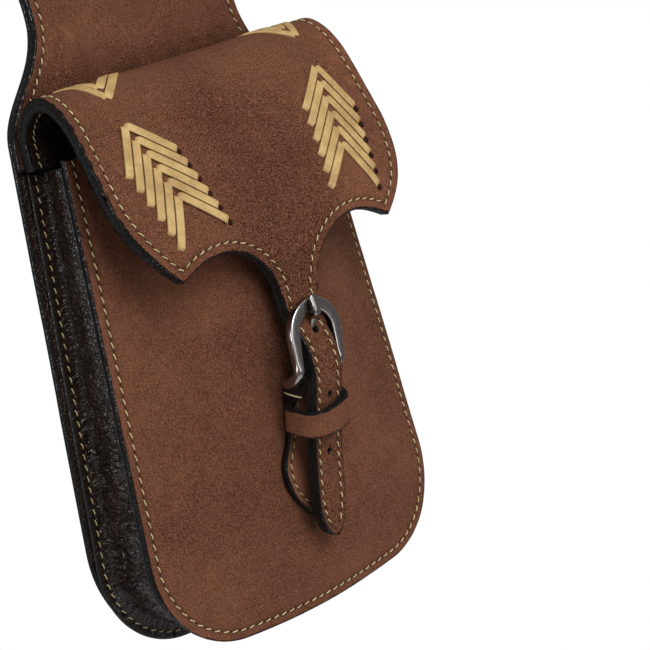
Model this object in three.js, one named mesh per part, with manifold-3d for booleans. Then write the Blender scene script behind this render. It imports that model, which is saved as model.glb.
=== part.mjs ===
// A saddle horn bag: a stuffed rough-out leather pocket under a laced flap, closed by a
// buckled strap and hung from a yoke with a horn hole.
// Millimetres, +Z up, the front faces -Y, and the origin is the centre of the horn hole.

import * as THREE from 'three';
import { mergeVertices } from 'three/addons/utils/BufferGeometryUtils.js';
import Module from 'manifold-3d';

const wasm = await Module();
wasm.setup();

// Driving dimensions: leather
const GAP = 0.3;
const HIDE = 2.4;
const PANEL = 2.6;
const GUSSET = 1.4;
const LACE = { width: 3.3, thick: 1.0, lift: 0.45 };

// Driving dimensions: pocket outline, as half width, corner radius and inward lean of the sides
const FRONT = { half: 79.4, corner: 39, bottom: 465, lean: 0.067, foot: -1.8, top: 193.5 };
const BACK = { half: 79.6, corner: 46, bottom: 465, lean: 0.048, foot: -5.0, top: 200 };
const SEAM_INSET = 3.8;
const MOUTH = 190.4;

// Driving dimensions: gusset channel, measured outwards from the seam
const CHANNEL = { lap: 3.1, bend: -4.0, web: -5.2, belly: -4.4, bellyShare: 0.45, round: 1.4 };

// Driving dimensions: depth of the pocket at the seam, its taper upwards and the bow of its bottom
const DEPTH = { foot: 36.2, taper: 0.065, bow: 2.9, bowHeight: 60, rim: 1.0 };
const BACK_FACE = -1.6;
const FACING_FACE = BACK_FACE + GAP + HIDE;

// Driving dimensions: yoke and horn hole
const YOKE = { waist: 53, waistHeight: 245, shoulder: 72, drift: 1.8 };
const OGEE = { shoulderDrop: 29, waistDrop: 19, waistRise: 13, ringPull: 18, ringTurn: -0.44 };
const HORN = { height: 326, ring: 72, hole: 42 };

// Fullness of the stuffed front panel along its centre line
const FULLNESS = [
  { rise: 0.00, swell: 0.0 },
  { rise: 0.14, swell: 5.2 },
  { rise: 0.33, swell: 11.0 },
  { rise: 0.55, swell: 18.5 },
  { rise: 0.75, swell: 22.5 },
  { rise: 0.88, swell: 20.0 },
  { rise: 1.00, swell: 15.0 },
];

// Course of the flap and strap, over the fold and down the front, along the outer face
const COURSE = [
  { height: 191.0, out: 1.5 },
  { height: 199.0, out: 1.5 },
  { height: 208.0, out: 2.6 },
  { height: 216.0, out: 7.5 },
  { height: 221.5, out: 16.0 },
  { height: 221.5, out: 24.0 },
  { height: 216.5, out: 32.0 },
  { height: 209.0, out: 38.0 },
  { height: 200.5, out: 42.2 },
  { height: 192.6, out: 45.6 },
  { height: 175.0, out: 52.8 },
  { height: 154.4, out: 59.6 },
  { height: 135.0, out: 60.0 },
  { height: 124.2, out: 59.6 },
  { height: 114.5, out: 61.3 },
  { height: 106.0, out: 65.4 },
  { height: 97.0, out: 66.8 },
  { height: 88.0, out: 65.2 },
  { height: 78.0, out: 62.2 },
  { height: 65.0, out: 58.8 },
  { height: 50.0, out: 55.8 },
  { height: 38.0, out: 54.0 },
  { height: 27.5, out: 52.8 },
];

// Slouch of the soft flap: rise per millimetre to the right, by distance down from the fold
const SLOUCH = [
  { down: -42, rise: 0.0 },
  { down: -15, rise: 0.060 },
  { down: 0, rise: 0.072 },
  { down: 30, rise: 0.058 },
  { down: 80, rise: 0.018 },
  { down: 112, rise: 0.0 },
];

// Flap outline, measured flat from the fold
const FLAP = { rearHalf: 70.5, half: 75.5, fullWidth: 55, tipHalf: 57.5, tip: 93.6 };
const SCALLOP = { half: 37, down: 87.7 };
const TONGUE = { half: 9.6, down: 113 };
const STRAP = { half: 8, start: 122, point: 16, blunt: 0.4, hole: 2.0 };
const STRAP_HOLES = [
  { down: 128.5, long: 10.0 },
  { down: 154.0, long: 4.0 },
  { down: 177.5, long: 4.0 },
];

// Lacing: one chevron's place and arms beside the flap's middle, and the step to the next
const CHEVRON = { across: 52.4, down: 28.8, stepAcross: -1.38, stepDown: 6.44, count: 6 };
const INNER_ARM = { across: -17.3, down: 15.7 };
const OUTER_ARM = { across: 9.8, down: 20.7 };
const FOLD_CHEVRON = { left: [51, 15.6], right: [54.6, 13.4], count: 2 };

// Buckle: a horseshoe frame whose legs turn back to a heel bar
const BUCKLE = { half: 13.9, inner: 9.2, spring: 109.3, legHalf: 12.6, foot: 97.5, back: 61.9 };
const FRAME_THICK = 3.4;
const BAR = { height: 92, out: 55.2, radius: 1.6, reach: 11.2, footRadius: 2.1 };
const PRONG = { width: 2.8, thick: 2.0, sleeve: 4.2, slot: 5.4 };
const CHAPE = { half: 12.6, widest: 56.5, neckHalf: 7.4, neckFoot: 75, thick: 3.0, foot: 35, neck: 86.5 };
const WEDGE = { foot: 76, rise: 7.4, power: 1.4 };
const KEEPER = { half: 10.5, wall: 1.9, height: 80, tall: 10.4, lift: 2.5, round: 3.2, tilt: 0.2 };

// Places a point given across, up from the pocket's seam and out from the back
function at(across, height, out) {
  return new THREE.Vector3(across, -out, height - HORN.height);
}

// Smooth curve through the rows of a table, read at one value of its first column
function smooth(rows, column, value, x) {
  const last = rows.length - 1;
  const next = rows.findIndex((row) => row[column] >= x);
  const k = Math.min(Math.max(next < 0 ? last : next, 1), last);
  const slope = (i) => {
    const a = rows[Math.max(i - 1, 0)];
    const b = rows[Math.min(i + 1, last)];
    return (b[value] - a[value]) / (b[column] - a[column]);
  };
  const [p, q] = [rows[k - 1], rows[k]];
  const span = q[column] - p[column];
  const t = THREE.MathUtils.clamp((x - p[column]) / span, 0, 1);
  const [t2, t3] = [t * t, t * t * t];
  return (2 * t3 - 3 * t2 + 1) * p[value] + (t3 - 2 * t2 + t) * span * slope(k - 1)
    + (3 * t2 - 2 * t3) * q[value] + (t3 - t2) * span * slope(k);
}

// Turns a triangle list into a closed geometry whose faces point outwards
function closedGeometry(points, faces) {
  let volume = 0;
  for (const [a, b, c] of faces) {
    volume += points[a].dot(new THREE.Vector3().crossVectors(points[b], points[c]));
  }
  const index = faces.flatMap(([a, b, c]) => (volume > 0 ? [a, b, c] : [a, c, b]));
  const geometry = new THREE.BufferGeometry().setFromPoints(points);
  geometry.setIndex(index);
  return geometry;
}

// Gives a flat sheet its place and thickness; the sheet is a list of points and triangles
function sheetSolid(sheet, place, thickness) {
  const count = sheet.points.length;
  const layer = (depth) => sheet.points.map(([u, v]) => place(u, v, depth));
  const points = [...layer(0), ...layer(thickness)];
  const faces = [];
  const edges = new Map();
  for (const [a, b, c] of sheet.faces) {
    faces.push([a, b, c], [a + count, c + count, b + count]);
    for (const [p, q] of [[a, b], [b, c], [c, a]]) {
      if (!edges.delete(`${q},${p}`)) edges.set(`${p},${q}`, [p, q]);
    }
  }
  for (const [p, q] of edges.values()) {
    faces.push([q, p, p + count], [q, p + count, q + count]);
  }
  return closedGeometry(points, faces);
}

// Grid of squares over given columns and rows, as a flat sheet
function gridSheet(columns, rows, spot = (u, v) => [u, v]) {
  const points = rows.flatMap((v) => columns.map((u) => spot(u, v)));
  const faces = [];
  const wide = columns.length;
  for (let j = 0; j + 1 < rows.length; j += 1) {
    for (let i = 0; i + 1 < wide; i += 1) {
      const a = j * wide + i;
      faces.push([a, a + 1, a + wide + 1], [a, a + wide + 1, a + wide]);
    }
  }
  return { points, faces };
}

// Joins flat sheets that share edges
function joinSheets(...sheets) {
  const points = [];
  const known = new Map();
  const faces = [];
  for (const sheet of sheets) {
    const renumbered = sheet.points.map(([u, v]) => {
      const key = `${u.toFixed(3)},${v.toFixed(3)}`;
      if (!known.has(key)) known.set(key, points.push([u, v]) - 1);
      return known.get(key);
    });
    faces.push(...sheet.faces.map((face) => face.map((i) => renumbered[i])));
  }
  return { points, faces };
}

// Evenly spaced values from a to b
function spread(a, b, steps) {
  return Array.from({ length: steps + 1 }, (_, i) => a + ((b - a) * i) / steps);
}

// Coons patch between four edges, each a function of 0 to 1
function coons(left, right, low, high) {
  return (a, b) => {
    const [l, r, o, t] = [left(b), right(b), low(a), high(a)];
    const corners = [low(0), low(1), high(0), high(1)];
    return [0, 1].map((i) => (1 - a) * l[i] + a * r[i] + (1 - b) * o[i] + b * t[i]
      - (1 - a) * (1 - b) * corners[0][i] - a * (1 - b) * corners[1][i]
      - (1 - a) * b * corners[2][i] - a * b * corners[3][i]);
  };
}

// Boolean work on closed geometries
function toManifold(geometry) {
  const bare = geometry.clone();
  bare.deleteAttribute('normal');
  bare.deleteAttribute('uv');
  const merged = mergeVertices(bare, 1e-4);
  return new wasm.Manifold(new wasm.Mesh({
    numProp: 3,
    vertProperties: new Float32Array(merged.attributes.position.array),
    triVerts: new Uint32Array(merged.index.array),
  }));
}

function fromManifold(solid) {
  const mesh = solid.getMesh();
  const geometry = new THREE.BufferGeometry();
  geometry.setAttribute('position', new THREE.BufferAttribute(mesh.vertProperties, mesh.numProp));
  geometry.setIndex(new THREE.BufferAttribute(mesh.triVerts, 1));
  return geometry;
}

const joined = (...geometries) => fromManifold(
  geometries.map(toManifold).reduce((a, b) => a.add(b)));
const cut = (geometry, ...tools) => fromManifold(
  tools.map(toManifold).reduce((a, b) => a.subtract(b), toManifold(geometry)));
const shared = (a, b) => fromManifold(toManifold(a).intersect(toManifold(b)));

// Half of a pocket outline, from the middle of its bottom up the right side
function halfOutline(size, inset) {
  const corner = size.corner - inset;
  const bottom = size.bottom - inset;
  const low = size.foot + inset;
  const reach = size.half - inset - corner;
  const swing = Math.asin(reach / (bottom - corner));
  const lift = low + bottom - (bottom - corner) * Math.cos(swing);
  const turn = -Math.PI / 2 + swing;
  const end = [reach + corner * Math.cos(size.lean), lift + corner * Math.sin(size.lean)];
  const run = size.top - end[1];
  const top = [end[0] - run * Math.tan(size.lean), size.top];
  return { corner, bottom, low, reach, lift, turn, end, top, lean: size.lean };
}

// The two stretches of that half outline, split in the middle of the rounded corner
function outlineCurves(half) {
  const middle = (half.turn + half.lean) / 2;
  const arc = (x, y, radius, from, to) => new THREE.EllipseCurve(x, y, radius, radius, from, to, false, 0);
  const base = new THREE.CurvePath();
  base.add(arc(0, half.low + half.bottom, half.bottom, -Math.PI / 2, half.turn));
  base.add(arc(half.reach, half.lift, half.corner, half.turn, middle));
  const side = new THREE.CurvePath();
  side.add(arc(half.reach, half.lift, half.corner, middle, half.lean));
  side.add(new THREE.LineCurve(new THREE.Vector2(...half.end), new THREE.Vector2(...half.top)));
  return { base, side };
}

// Depth of the front seam line at a point of the pocket
function seamDepth(across, height) {
  const bow = Math.max(1 - (across / (FRONT.half - SEAM_INSET)) ** 2, 0);
  const fade = Math.max(1 - height / DEPTH.bowHeight, 0);
  return DEPTH.foot - DEPTH.taper * height + DEPTH.bow * bow * fade;
}

// Front panel: a pillow over the pocket's outline, by fractions across and up
const frontCurves = outlineCurves(halfOutline(FRONT, 0));
const mirrored = (sign, curve, t) => {
  const point = curve.getPointAt(t);
  return [sign * point.x, point.y];
};
const frontSpot = coons(
  (b) => mirrored(-1, frontCurves.side, b),
  (b) => mirrored(1, frontCurves.side, b),
  (a) => mirrored(Math.sign(a - 0.5), frontCurves.base, Math.abs(2 * a - 1)),
  (a) => [(2 * a - 1) * frontCurves.side.getPointAt(1).x, FRONT.top],
);

function frontFace(a, b) {
  const [across, height] = frontSpot(a, b);
  const rest = 1 - (2 * a - 1) ** 2;
  const swell = smooth(FULLNESS, 'rise', 'swell', b) * (0.5 * rest + 0.5 * rest * rest);
  return { across, height, out: seamDepth(across, height) - DEPTH.rim + swell };
}

function frontPanel() {
  const sheet = gridSheet(spread(0, 1, 16), spread(0, 1, 18));
  return sheetSolid(sheet, (a, b, depth) => {
    const face = frontFace(a, b);
    return at(face.across, face.height, face.out - depth);
  }, PANEL);
}

// Distance out of the front panel on its centre line, at a height
function panelOut(height) {
  return frontFace(0.5, (height - FRONT.foot) / (FRONT.top - FRONT.foot)).out;
}

// Gusset: a channel of soft leather run round the pocket, with a flange under each panel
function gusset() {
  const seamRun = (foot) => {
    const half = halfOutline({ ...FRONT, foot, top: MOUTH }, SEAM_INSET);
    const { base, side } = outlineCurves(half);
    const run = new THREE.CurvePath();
    run.curves.push(...base.curves, ...side.curves);
    return (t) => {
      const point = run.getPointAt(Math.abs(t));
      const tangent = run.getTangentAt(Math.abs(t));
      const sign = Math.sign(t) || 1;
      return {
        point: new THREE.Vector2(sign * point.x, point.y),
        outward: new THREE.Vector2(sign * tangent.y, -tangent.x),
      };
    };
  };
  const [frontRun, backRun] = [seamRun(FRONT.foot), seamRun(BACK.foot)];
  const back = BACK_FACE + GAP + GUSSET / 2;
  const section = (front) => [
    [CHANNEL.lap, back],
    [CHANNEL.bend, back],
    [CHANNEL.web, back + CHANNEL.round],
    [CHANNEL.belly, front * CHANNEL.bellyShare],
    [CHANNEL.web, front - CHANNEL.round],
    [CHANNEL.bend, front],
    [CHANNEL.lap, front],
  ].map(([x, y]) => new THREE.Vector2(x, y));
  const place = (t, q, depth) => {
    const [near, far] = [frontRun(t), backRun(t)];
    const front = seamDepth(near.point.x, near.point.y) - DEPTH.rim - PANEL - GAP - GUSSET / 2;
    const rows = section(front);
    const normal = (i) => {
      const leg = rows[i + 1].clone().sub(rows[i]);
      return new THREE.Vector2(leg.y, -leg.x).normalize();
    };
    const before = normal(Math.max(q - 1, 0));
    const after = normal(Math.min(q, rows.length - 2));
    const mitre = before.clone().add(after).normalize();
    const spot = rows[q].clone().addScaledVector(mitre, (GUSSET / 2 - depth) / mitre.dot(before));
    const share = THREE.MathUtils.clamp((rows[q].y - back) / (front - back), 0, 1);
    const point = far.point.clone().lerp(near.point, share);
    const outward = far.outward.clone().lerp(near.outward, share).normalize();
    point.addScaledVector(outward, spot.x);
    return at(point.x, point.y, spot.y);
  };
  return sheetSolid(gridSheet(spread(-1, 1, 56), spread(0, 6, 6)), place, GUSSET);
}

// Yoke outline from a height up: an ogee in to the waist and out to the round end
function yokeTop(shape, side) {
  const turn = OGEE.ringTurn;
  const pull = OGEE.ringPull;
  const meet = [HORN.ring * Math.cos(turn), HORN.height + HORN.ring * Math.sin(turn)];
  const knee = [meet[0] + pull * Math.sin(turn), meet[1] - pull * Math.cos(turn)];
  const waist = side * YOKE.waist + YOKE.drift;
  const { waistHeight, shoulder } = YOKE;
  const shoulderPull = waistHeight - OGEE.shoulderDrop;
  const lowPull = waistHeight - OGEE.waistDrop;
  const highPull = waistHeight + OGEE.waistRise;
  if (side > 0) {
    shape.bezierCurveTo(shoulder, shoulderPull, waist, lowPull, waist, waistHeight);
    shape.bezierCurveTo(waist, highPull, ...knee, ...meet);
    shape.absarc(0, HORN.height, HORN.ring, turn, Math.PI - turn, false);
  } else {
    shape.bezierCurveTo(-knee[0], knee[1], waist, highPull, waist, waistHeight);
    shape.bezierCurveTo(waist, lowPull, -shoulder, shoulderPull, -shoulder, BACK.top);
  }
}

function hornHole() {
  return new THREE.Path().absarc(0, HORN.height, HORN.hole, 0, 2 * Math.PI, true);
}

// A flat outline as a plate standing between two distances out from the back
function plate(shape, innerOut, outerOut, curveSegments) {
  const geometry = new THREE.ExtrudeGeometry(shape, {
    depth: outerOut - innerOut, bevelEnabled: false, curveSegments,
  });
  geometry.rotateX(Math.PI / 2);
  geometry.translate(0, -innerOut, -HORN.height);
  return geometry;
}

function backPanel() {
  const half = halfOutline(BACK, 0);
  const rise = Math.PI / 2;
  const shape = new THREE.Shape();
  shape.absarc(0, half.low + half.bottom, half.bottom, -rise, half.turn, false);
  shape.absarc(half.reach, half.lift, half.corner, half.turn, half.lean, false);
  shape.lineTo(YOKE.shoulder, BACK.top);
  yokeTop(shape, 1);
  yokeTop(shape, -1);
  shape.absarc(-half.reach, half.lift, half.corner, Math.PI - half.lean, Math.PI - half.turn, false);
  shape.absarc(0, half.low + half.bottom, half.bottom, -Math.PI - half.turn, -rise, false);
  shape.holes.push(hornHole());
  return plate(shape, BACK_FACE - HIDE, BACK_FACE, 12);
}

function yokeFacing() {
  const half = halfOutline(BACK, 0);
  const low = MOUTH + 1;
  const lean = (YOKE.shoulder - half.end[0]) / (BACK.top - half.end[1]);
  const lowHalf = YOKE.shoulder - lean * (BACK.top - low);
  const shape = new THREE.Shape();
  shape.moveTo(-lowHalf, low);
  shape.lineTo(lowHalf, low);
  shape.lineTo(YOKE.shoulder, BACK.top);
  yokeTop(shape, 1);
  yokeTop(shape, -1);
  shape.holes.push(hornHole());
  return plate(shape, FACING_FACE - HIDE, FACING_FACE, 12);
}

// Flap and strap: one course bent over the fold, read by distance down from the fold
const course = new THREE.CatmullRomCurve3(
  COURSE.map((row) => new THREE.Vector3(0, row.height, row.out)), false, 'centripetal');
course.arcLengthDivisions = 1200;
const courseLength = course.getLength();
const foldLength = courseLength * spread(0, 1, 1200).reduce(
  (best, t) => (course.getPointAt(t).y > course.getPointAt(best).y ? t : best), 0);
const rearEnd = -foldLength;
const strapEnd = courseLength - foldLength;

function onFlap(across, down, depth) {
  const t = THREE.MathUtils.clamp((down + foldLength) / courseLength, 0, 1);
  const point = course.getPointAt(t);
  const tangent = course.getTangentAt(t);
  const rise = smooth(SLOUCH, 'down', 'rise', down) * across;
  return at(across, point.y + rise - tangent.z * depth, point.z + tangent.y * depth);
}

// Outline of the flap's right half: its middle strip, its side and its scalloped foot
const bezier = (...points) => new THREE.CubicBezierCurve(
  ...points.map(([x, y]) => new THREE.Vector2(x, y)));
const lobeTip = [FLAP.tipHalf, FLAP.tip];
const scallopTop = [SCALLOP.half, SCALLOP.down];
const flapEdge = new THREE.CurvePath();
flapEdge.add(new THREE.LineCurve(
  new THREE.Vector2(FLAP.rearHalf, rearEnd), new THREE.Vector2(FLAP.half, FLAP.fullWidth)));
flapEdge.add(bezier([FLAP.half, FLAP.fullWidth], [FLAP.half, 72], [68.5, 84], lobeTip));
const flapFoot = new THREE.CurvePath();
flapFoot.add(bezier([TONGUE.half, TONGUE.down], [10.5, 99], [22, SCALLOP.down], scallopTop));
flapFoot.add(bezier(scallopTop, [45, SCALLOP.down], [50, 90], lobeTip));

// Rows down the flap, close together where it bends
const flapRows = [...spread(0, 0.4, 15), ...spread(0.4, 1, 10).slice(1)];
const flapColumns = spread(0, 1, 7);

function flapSide(sign) {
  const inner = (b) => [TONGUE.half, rearEnd + b * (TONGUE.down - rearEnd)];
  const spot = coons(
    inner,
    (b) => flapEdge.getPointAt(b).toArray(),
    (a) => [TONGUE.half + a * (FLAP.rearHalf - TONGUE.half), rearEnd],
    (a) => flapFoot.getPointAt(a).toArray(),
  );
  return gridSheet(flapColumns, flapRows, (a, b) => {
    const [across, down] = spot(a, b);
    return [sign * across, down];
  });
}

// Middle strip of the flap and the strap below it, ending in a rounded point
function strapHalf(down) {
  if (down <= TONGUE.down) return TONGUE.half;
  const along = (down - strapEnd + STRAP.point) / STRAP.point;
  if (along >= 0) return Math.max(STRAP.half * Math.sqrt(1 - along ** 1.6), STRAP.blunt);
  const t = THREE.MathUtils.smoothstep(down, TONGUE.down, STRAP.start);
  return THREE.MathUtils.lerp(TONGUE.half, STRAP.half, t);
}

function flapSheet() {
  const middle = flapRows.map((b) => rearEnd + b * (TONGUE.down - rearEnd));
  const strap = spread(TONGUE.down, strapEnd - STRAP.point, 18).slice(1);
  const point = spread(strapEnd - STRAP.point, strapEnd, 5).slice(1);
  const rows = [...middle, ...strap, ...point];
  const strip = gridSheet([-1, 1], rows, (a, down) => [a * strapHalf(down), down]);
  const right = flapSide(1);
  const left = flapSide(-1);
  left.faces = left.faces.map(([a, b, c]) => [a, c, b]);
  return joinSheets(strip, right, left);
}

// Holes through the strap, square to it; the prong's own hole is drawn long
function strapHoleTools() {
  return STRAP_HOLES.map(({ down, long }) => {
    const outer = onFlap(0, down, -2);
    const inner = onFlap(0, down, 2 * HIDE + 3);
    const tool = new THREE.CylinderGeometry(STRAP.hole, STRAP.hole, outer.distanceTo(inner), 10);
    tool.scale(1, 1, long / (2 * STRAP.hole));
    tool.applyQuaternion(new THREE.Quaternion().setFromUnitVectors(
      new THREE.Vector3(0, 1, 0), outer.clone().sub(inner).normalize()));
    const centre = outer.add(inner).multiplyScalar(0.5);
    return tool.translate(centre.x, centre.y, centre.z);
  });
}

function flapLayer(depth) {
  const place = (u, v, below) => onFlap(u, v, depth + below);
  return cut(sheetSolid(flapSheet(), place, HIDE), ...strapHoleTools());
}

// One chevron of lace laid on the flap, its two arms meeting at the point
function chevron(across, down, sign, turn) {
  const end = (arm) => new THREE.Vector2(sign * (across + arm.across), down + turn * arm.down);
  const point = new THREE.Vector2(sign * across, down);
  const [first, last] = [end(INNER_ARM), end(OUTER_ARM)];
  const steps = 5;
  const line = [
    ...spread(0, 1, steps).map((t) => first.clone().lerp(point, t)),
    ...spread(0, 1, steps).slice(1).map((t) => point.clone().lerp(last, t)),
  ];
  const normal = (from, to) => new THREE.Vector2(from.y - to.y, to.x - from.x).normalize();
  const [before, after] = [normal(first, point), normal(point, last)];
  const mitre = before.clone().add(after).normalize();
  const offset = (i) => {
    if (i === steps) return mitre.clone().divideScalar(mitre.dot(before));
    return i < steps ? before : after;
  };
  const spot = (a, i) => line[i].clone().addScaledVector(offset(i), a * LACE.width / 2).toArray();
  const sheet = gridSheet([-1, 1], spread(0, 2 * steps, 2 * steps), spot);
  return sheetSolid(sheet, (u, v, depth) => onFlap(u, v, depth - LACE.lift - LACE.thick), LACE.thick);
}

// Buckle frame: a flat horseshoe with feet turned back to the heel bar
function buckleFrame() {
  const shape = new THREE.Shape();
  shape.moveTo(BUCKLE.legHalf, BUCKLE.foot);
  shape.lineTo(BUCKLE.half, BUCKLE.spring);
  shape.absarc(0, BUCKLE.spring, BUCKLE.half, 0, Math.PI, false);
  shape.lineTo(-BUCKLE.legHalf, BUCKLE.foot);
  shape.lineTo(-BUCKLE.inner, BUCKLE.foot);
  shape.lineTo(-BUCKLE.inner, BUCKLE.spring);
  shape.absarc(0, BUCKLE.spring, BUCKLE.inner, Math.PI, 0, true);
  shape.lineTo(BUCKLE.inner, BUCKLE.foot);
  const horseshoe = plate(shape, BUCKLE.back, BUCKLE.back + FRAME_THICK, 12);
  const tube = (points, radius) => new THREE.ExtrudeGeometry(
    new THREE.Shape().absarc(0, 0, radius, 0, 2 * Math.PI, false), {
      steps: 8, curveSegments: 5, bevelEnabled: false, extrudePath: new THREE.CatmullRomCurve3(points),
    });
  const legOut = BUCKLE.back + FRAME_THICK / 2;
  const foot = (sign) => tube([
    at(sign * BAR.reach, BUCKLE.foot + 2, legOut - 0.2),
    at(sign * BAR.reach, BUCKLE.foot - 2.5, legOut - 0.8),
    at(sign * BAR.reach, BAR.height + 1.6, BAR.out + 4.2),
    at(sign * BAR.reach, BAR.height, BAR.out - 1.2),
  ], BAR.footRadius);
  const bar = tube([at(-BAR.reach, BAR.height, BAR.out), at(BAR.reach, BAR.height, BAR.out)], BAR.radius);
  return joined(horseshoe, foot(1), foot(-1), bar);
}

// Ring round the heel bar, between two radii and two distances from the middle
function barRing(inner, outer, half) {
  const profile = [[inner, -half], [outer, -half], [outer, half], [inner, half], [inner, -half]];
  const ring = new THREE.LatheGeometry(profile.map(([r, y]) => new THREE.Vector2(r, y)), 16);
  ring.rotateZ(Math.PI / 2);
  const centre = at(0, BAR.height, BAR.out);
  return ring.translate(centre.x, centre.y, centre.z);
}

// Prong: a flat tongue from its sleeve on the bar, through the strap and onto the frame
function buckleProng() {
  const front = BUCKLE.back + FRAME_THICK;
  const lift = GAP + PRONG.thick / 2;
  const hole = STRAP_HOLES[0].down;
  const path = new THREE.CatmullRomCurve3([
    at(0, BAR.height + 1.5, BAR.out + BAR.radius + GAP + 0.9),
    at(0, BAR.height + 9, BAR.out + 2.4),
    onFlap(0, hole + 4.2, 2 * HIDE + 2.8),
    onFlap(0, hole, HIDE),
    onFlap(0, hole - 4.2, -2.4),
    at(0, BUCKLE.spring + BUCKLE.inner - 1, front + lift + 0.6),
    at(0, BUCKLE.spring + BUCKLE.half + 1.0, front + lift),
  ]);
  const half = [PRONG.thick / 2, PRONG.width / 2];
  const bevel = 0.5;
  const section = new THREE.Shape([
    new THREE.Vector2(-half[0], -half[1] + bevel),
    new THREE.Vector2(-half[0] + bevel, -half[1]),
    new THREE.Vector2(half[0] - bevel, -half[1]),
    new THREE.Vector2(half[0], -half[1] + bevel),
    new THREE.Vector2(half[0], half[1] - bevel),
    new THREE.Vector2(half[0] - bevel, half[1]),
    new THREE.Vector2(-half[0] + bevel, half[1]),
    new THREE.Vector2(-half[0], half[1] - bevel),
  ]);
  const tongue = new THREE.ExtrudeGeometry(section, { steps: 18, bevelEnabled: false, extrudePath: path });
  return joined(tongue, barRing(BAR.radius + GAP, BAR.radius + GAP + 1.5, PRONG.sleeve / 2));
}

// Chape: a leaf sewn on the panel, its neck thickening to the loop round the bar beside the prong
function buckleChape() {
  const loop = BAR.radius + GAP + HIDE;
  const heights = [...spread(CHAPE.foot, WEDGE.foot, 6), ...spread(WEDGE.foot, CHAPE.neck, 5).slice(1)];
  const share = (height) => Math.max(height - WEDGE.foot, 0) / (CHAPE.neck - WEDGE.foot);
  const thick = (height) => CHAPE.thick + WEDGE.rise * share(height) ** WEDGE.power;
  const rear = heights.map((height) => new THREE.Vector2(height, panelOut(height) + GAP));
  const fore = heights.map((height) => new THREE.Vector2(height, panelOut(height) + GAP + thick(height)));
  const swing = spread(-2.2, 2.2, 12).map((angle) => new THREE.Vector2(
    BAR.height + loop * Math.cos(angle), BAR.out + loop * Math.sin(angle)));
  const profile = new THREE.Shape([...rear, ...swing, ...fore.reverse()]);
  profile.holes.push(new THREE.Path().absarc(BAR.height, BAR.out, BAR.radius + GAP, 0, 2 * Math.PI, true));
  const tab = new THREE.ExtrudeGeometry(profile, {
    depth: 2 * CHAPE.half, bevelEnabled: false, curveSegments: 8,
  });
  const frame = new THREE.Matrix4().makeBasis(
    new THREE.Vector3(0, 0, 1), new THREE.Vector3(0, -1, 0), new THREE.Vector3(1, 0, 0));
  frame.setPosition(at(-CHAPE.half, 0, 0));
  tab.applyMatrix4(frame);
  const outline = new THREE.Shape();
  outline.moveTo(CHAPE.neckHalf, CHAPE.neckFoot);
  outline.lineTo(CHAPE.neckHalf, BAR.height + 10);
  outline.lineTo(-CHAPE.neckHalf, BAR.height + 10);
  outline.lineTo(-CHAPE.neckHalf, CHAPE.neckFoot);
  outline.bezierCurveTo(-CHAPE.neckHalf, 66, -CHAPE.half, 63.5, -CHAPE.half, CHAPE.widest);
  outline.bezierCurveTo(-CHAPE.half, 46, -5.5, 39.5, 0, CHAPE.foot);
  outline.bezierCurveTo(5.5, 39.5, CHAPE.half, 46, CHAPE.half, CHAPE.widest);
  outline.bezierCurveTo(CHAPE.half, 63.5, CHAPE.neckHalf, 66, CHAPE.neckHalf, CHAPE.neckFoot);
  const rounded = shared(tab, plate(outline, 20, 80, 10));
  const slot = new THREE.BoxGeometry(PRONG.slot, 40, 24);
  const place = at(0, BAR.height - BAR.radius + 8.5, BAR.out);
  return cut(rounded, slot.translate(place.x, place.y, place.z));
}

// Keeper: a leather band arched over the strap, its ends turned in beside the chape's neck
function strapKeeper() {
  const seat = panelOut(KEEPER.height) + GAP + CHAPE.thick + 2 * GAP;
  const strapOut = smooth([...COURSE].reverse(), 'height', 'out', KEEPER.height);
  const rise = strapOut + KEEPER.lift - seat;
  const band = (inset) => {
    const [half, top, round] = [KEEPER.half - inset, rise - inset, KEEPER.round - inset];
    const path = new THREE.Path();
    path.moveTo(-half, inset);
    path.lineTo(-half, top - round);
    path.absarc(-half + round, top - round, round, Math.PI, Math.PI / 2, true);
    path.absarc(half - round, top - round, round, Math.PI / 2, 0, true);
    path.lineTo(half, inset);
    return path.getPoints(5);
  };
  const foot = CHAPE.neckHalf + GAP;
  const outline = new THREE.Shape([
    new THREE.Vector2(-foot, 0), ...band(0), new THREE.Vector2(foot, 0),
    new THREE.Vector2(foot, KEEPER.wall), ...band(KEEPER.wall).reverse(),
    new THREE.Vector2(-foot, KEEPER.wall),
  ]);
  const geometry = new THREE.ExtrudeGeometry(outline, { depth: KEEPER.tall, bevelEnabled: false });
  geometry.translate(0, 0, -KEEPER.tall / 2);
  geometry.rotateX(Math.PI + KEEPER.tilt);
  const place = at(0, KEEPER.height, seat);
  return geometry.translate(place.x, place.y, place.z);
}

// Finishes
const leather = (color, roughness) => new THREE.MeshStandardMaterial({ color, roughness, metalness: 0 });
const suede = leather(0x64412f, 0.95);
const black = leather(0x15110f, 0.45);
const lace = leather(0xc8a564, 0.6);
const nickel = new THREE.MeshStandardMaterial({ color: 0x57524f, roughness: 0.3, metalness: 1 });

const bag = new THREE.Group();

function addPiece(name, geometry, material) {
  const mesh = new THREE.Mesh(geometry, material);
  mesh.name = name;
  bag.add(mesh);
}

addPiece('back_panel', backPanel(), black);
addPiece('yoke_facing', yokeFacing(), suede);
addPiece('gusset', gusset(), black);
addPiece('front_panel', frontPanel(), suede);
addPiece('flap', flapLayer(0), suede);
addPiece('flap_lining', flapLayer(HIDE + GAP), black);
addPiece('buckle_chape', buckleChape(), suede);
addPiece('strap_keeper', strapKeeper(), suede);
addPiece('buckle_frame', buckleFrame(), nickel);
addPiece('buckle_prong', buckleProng(), nickel);

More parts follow.
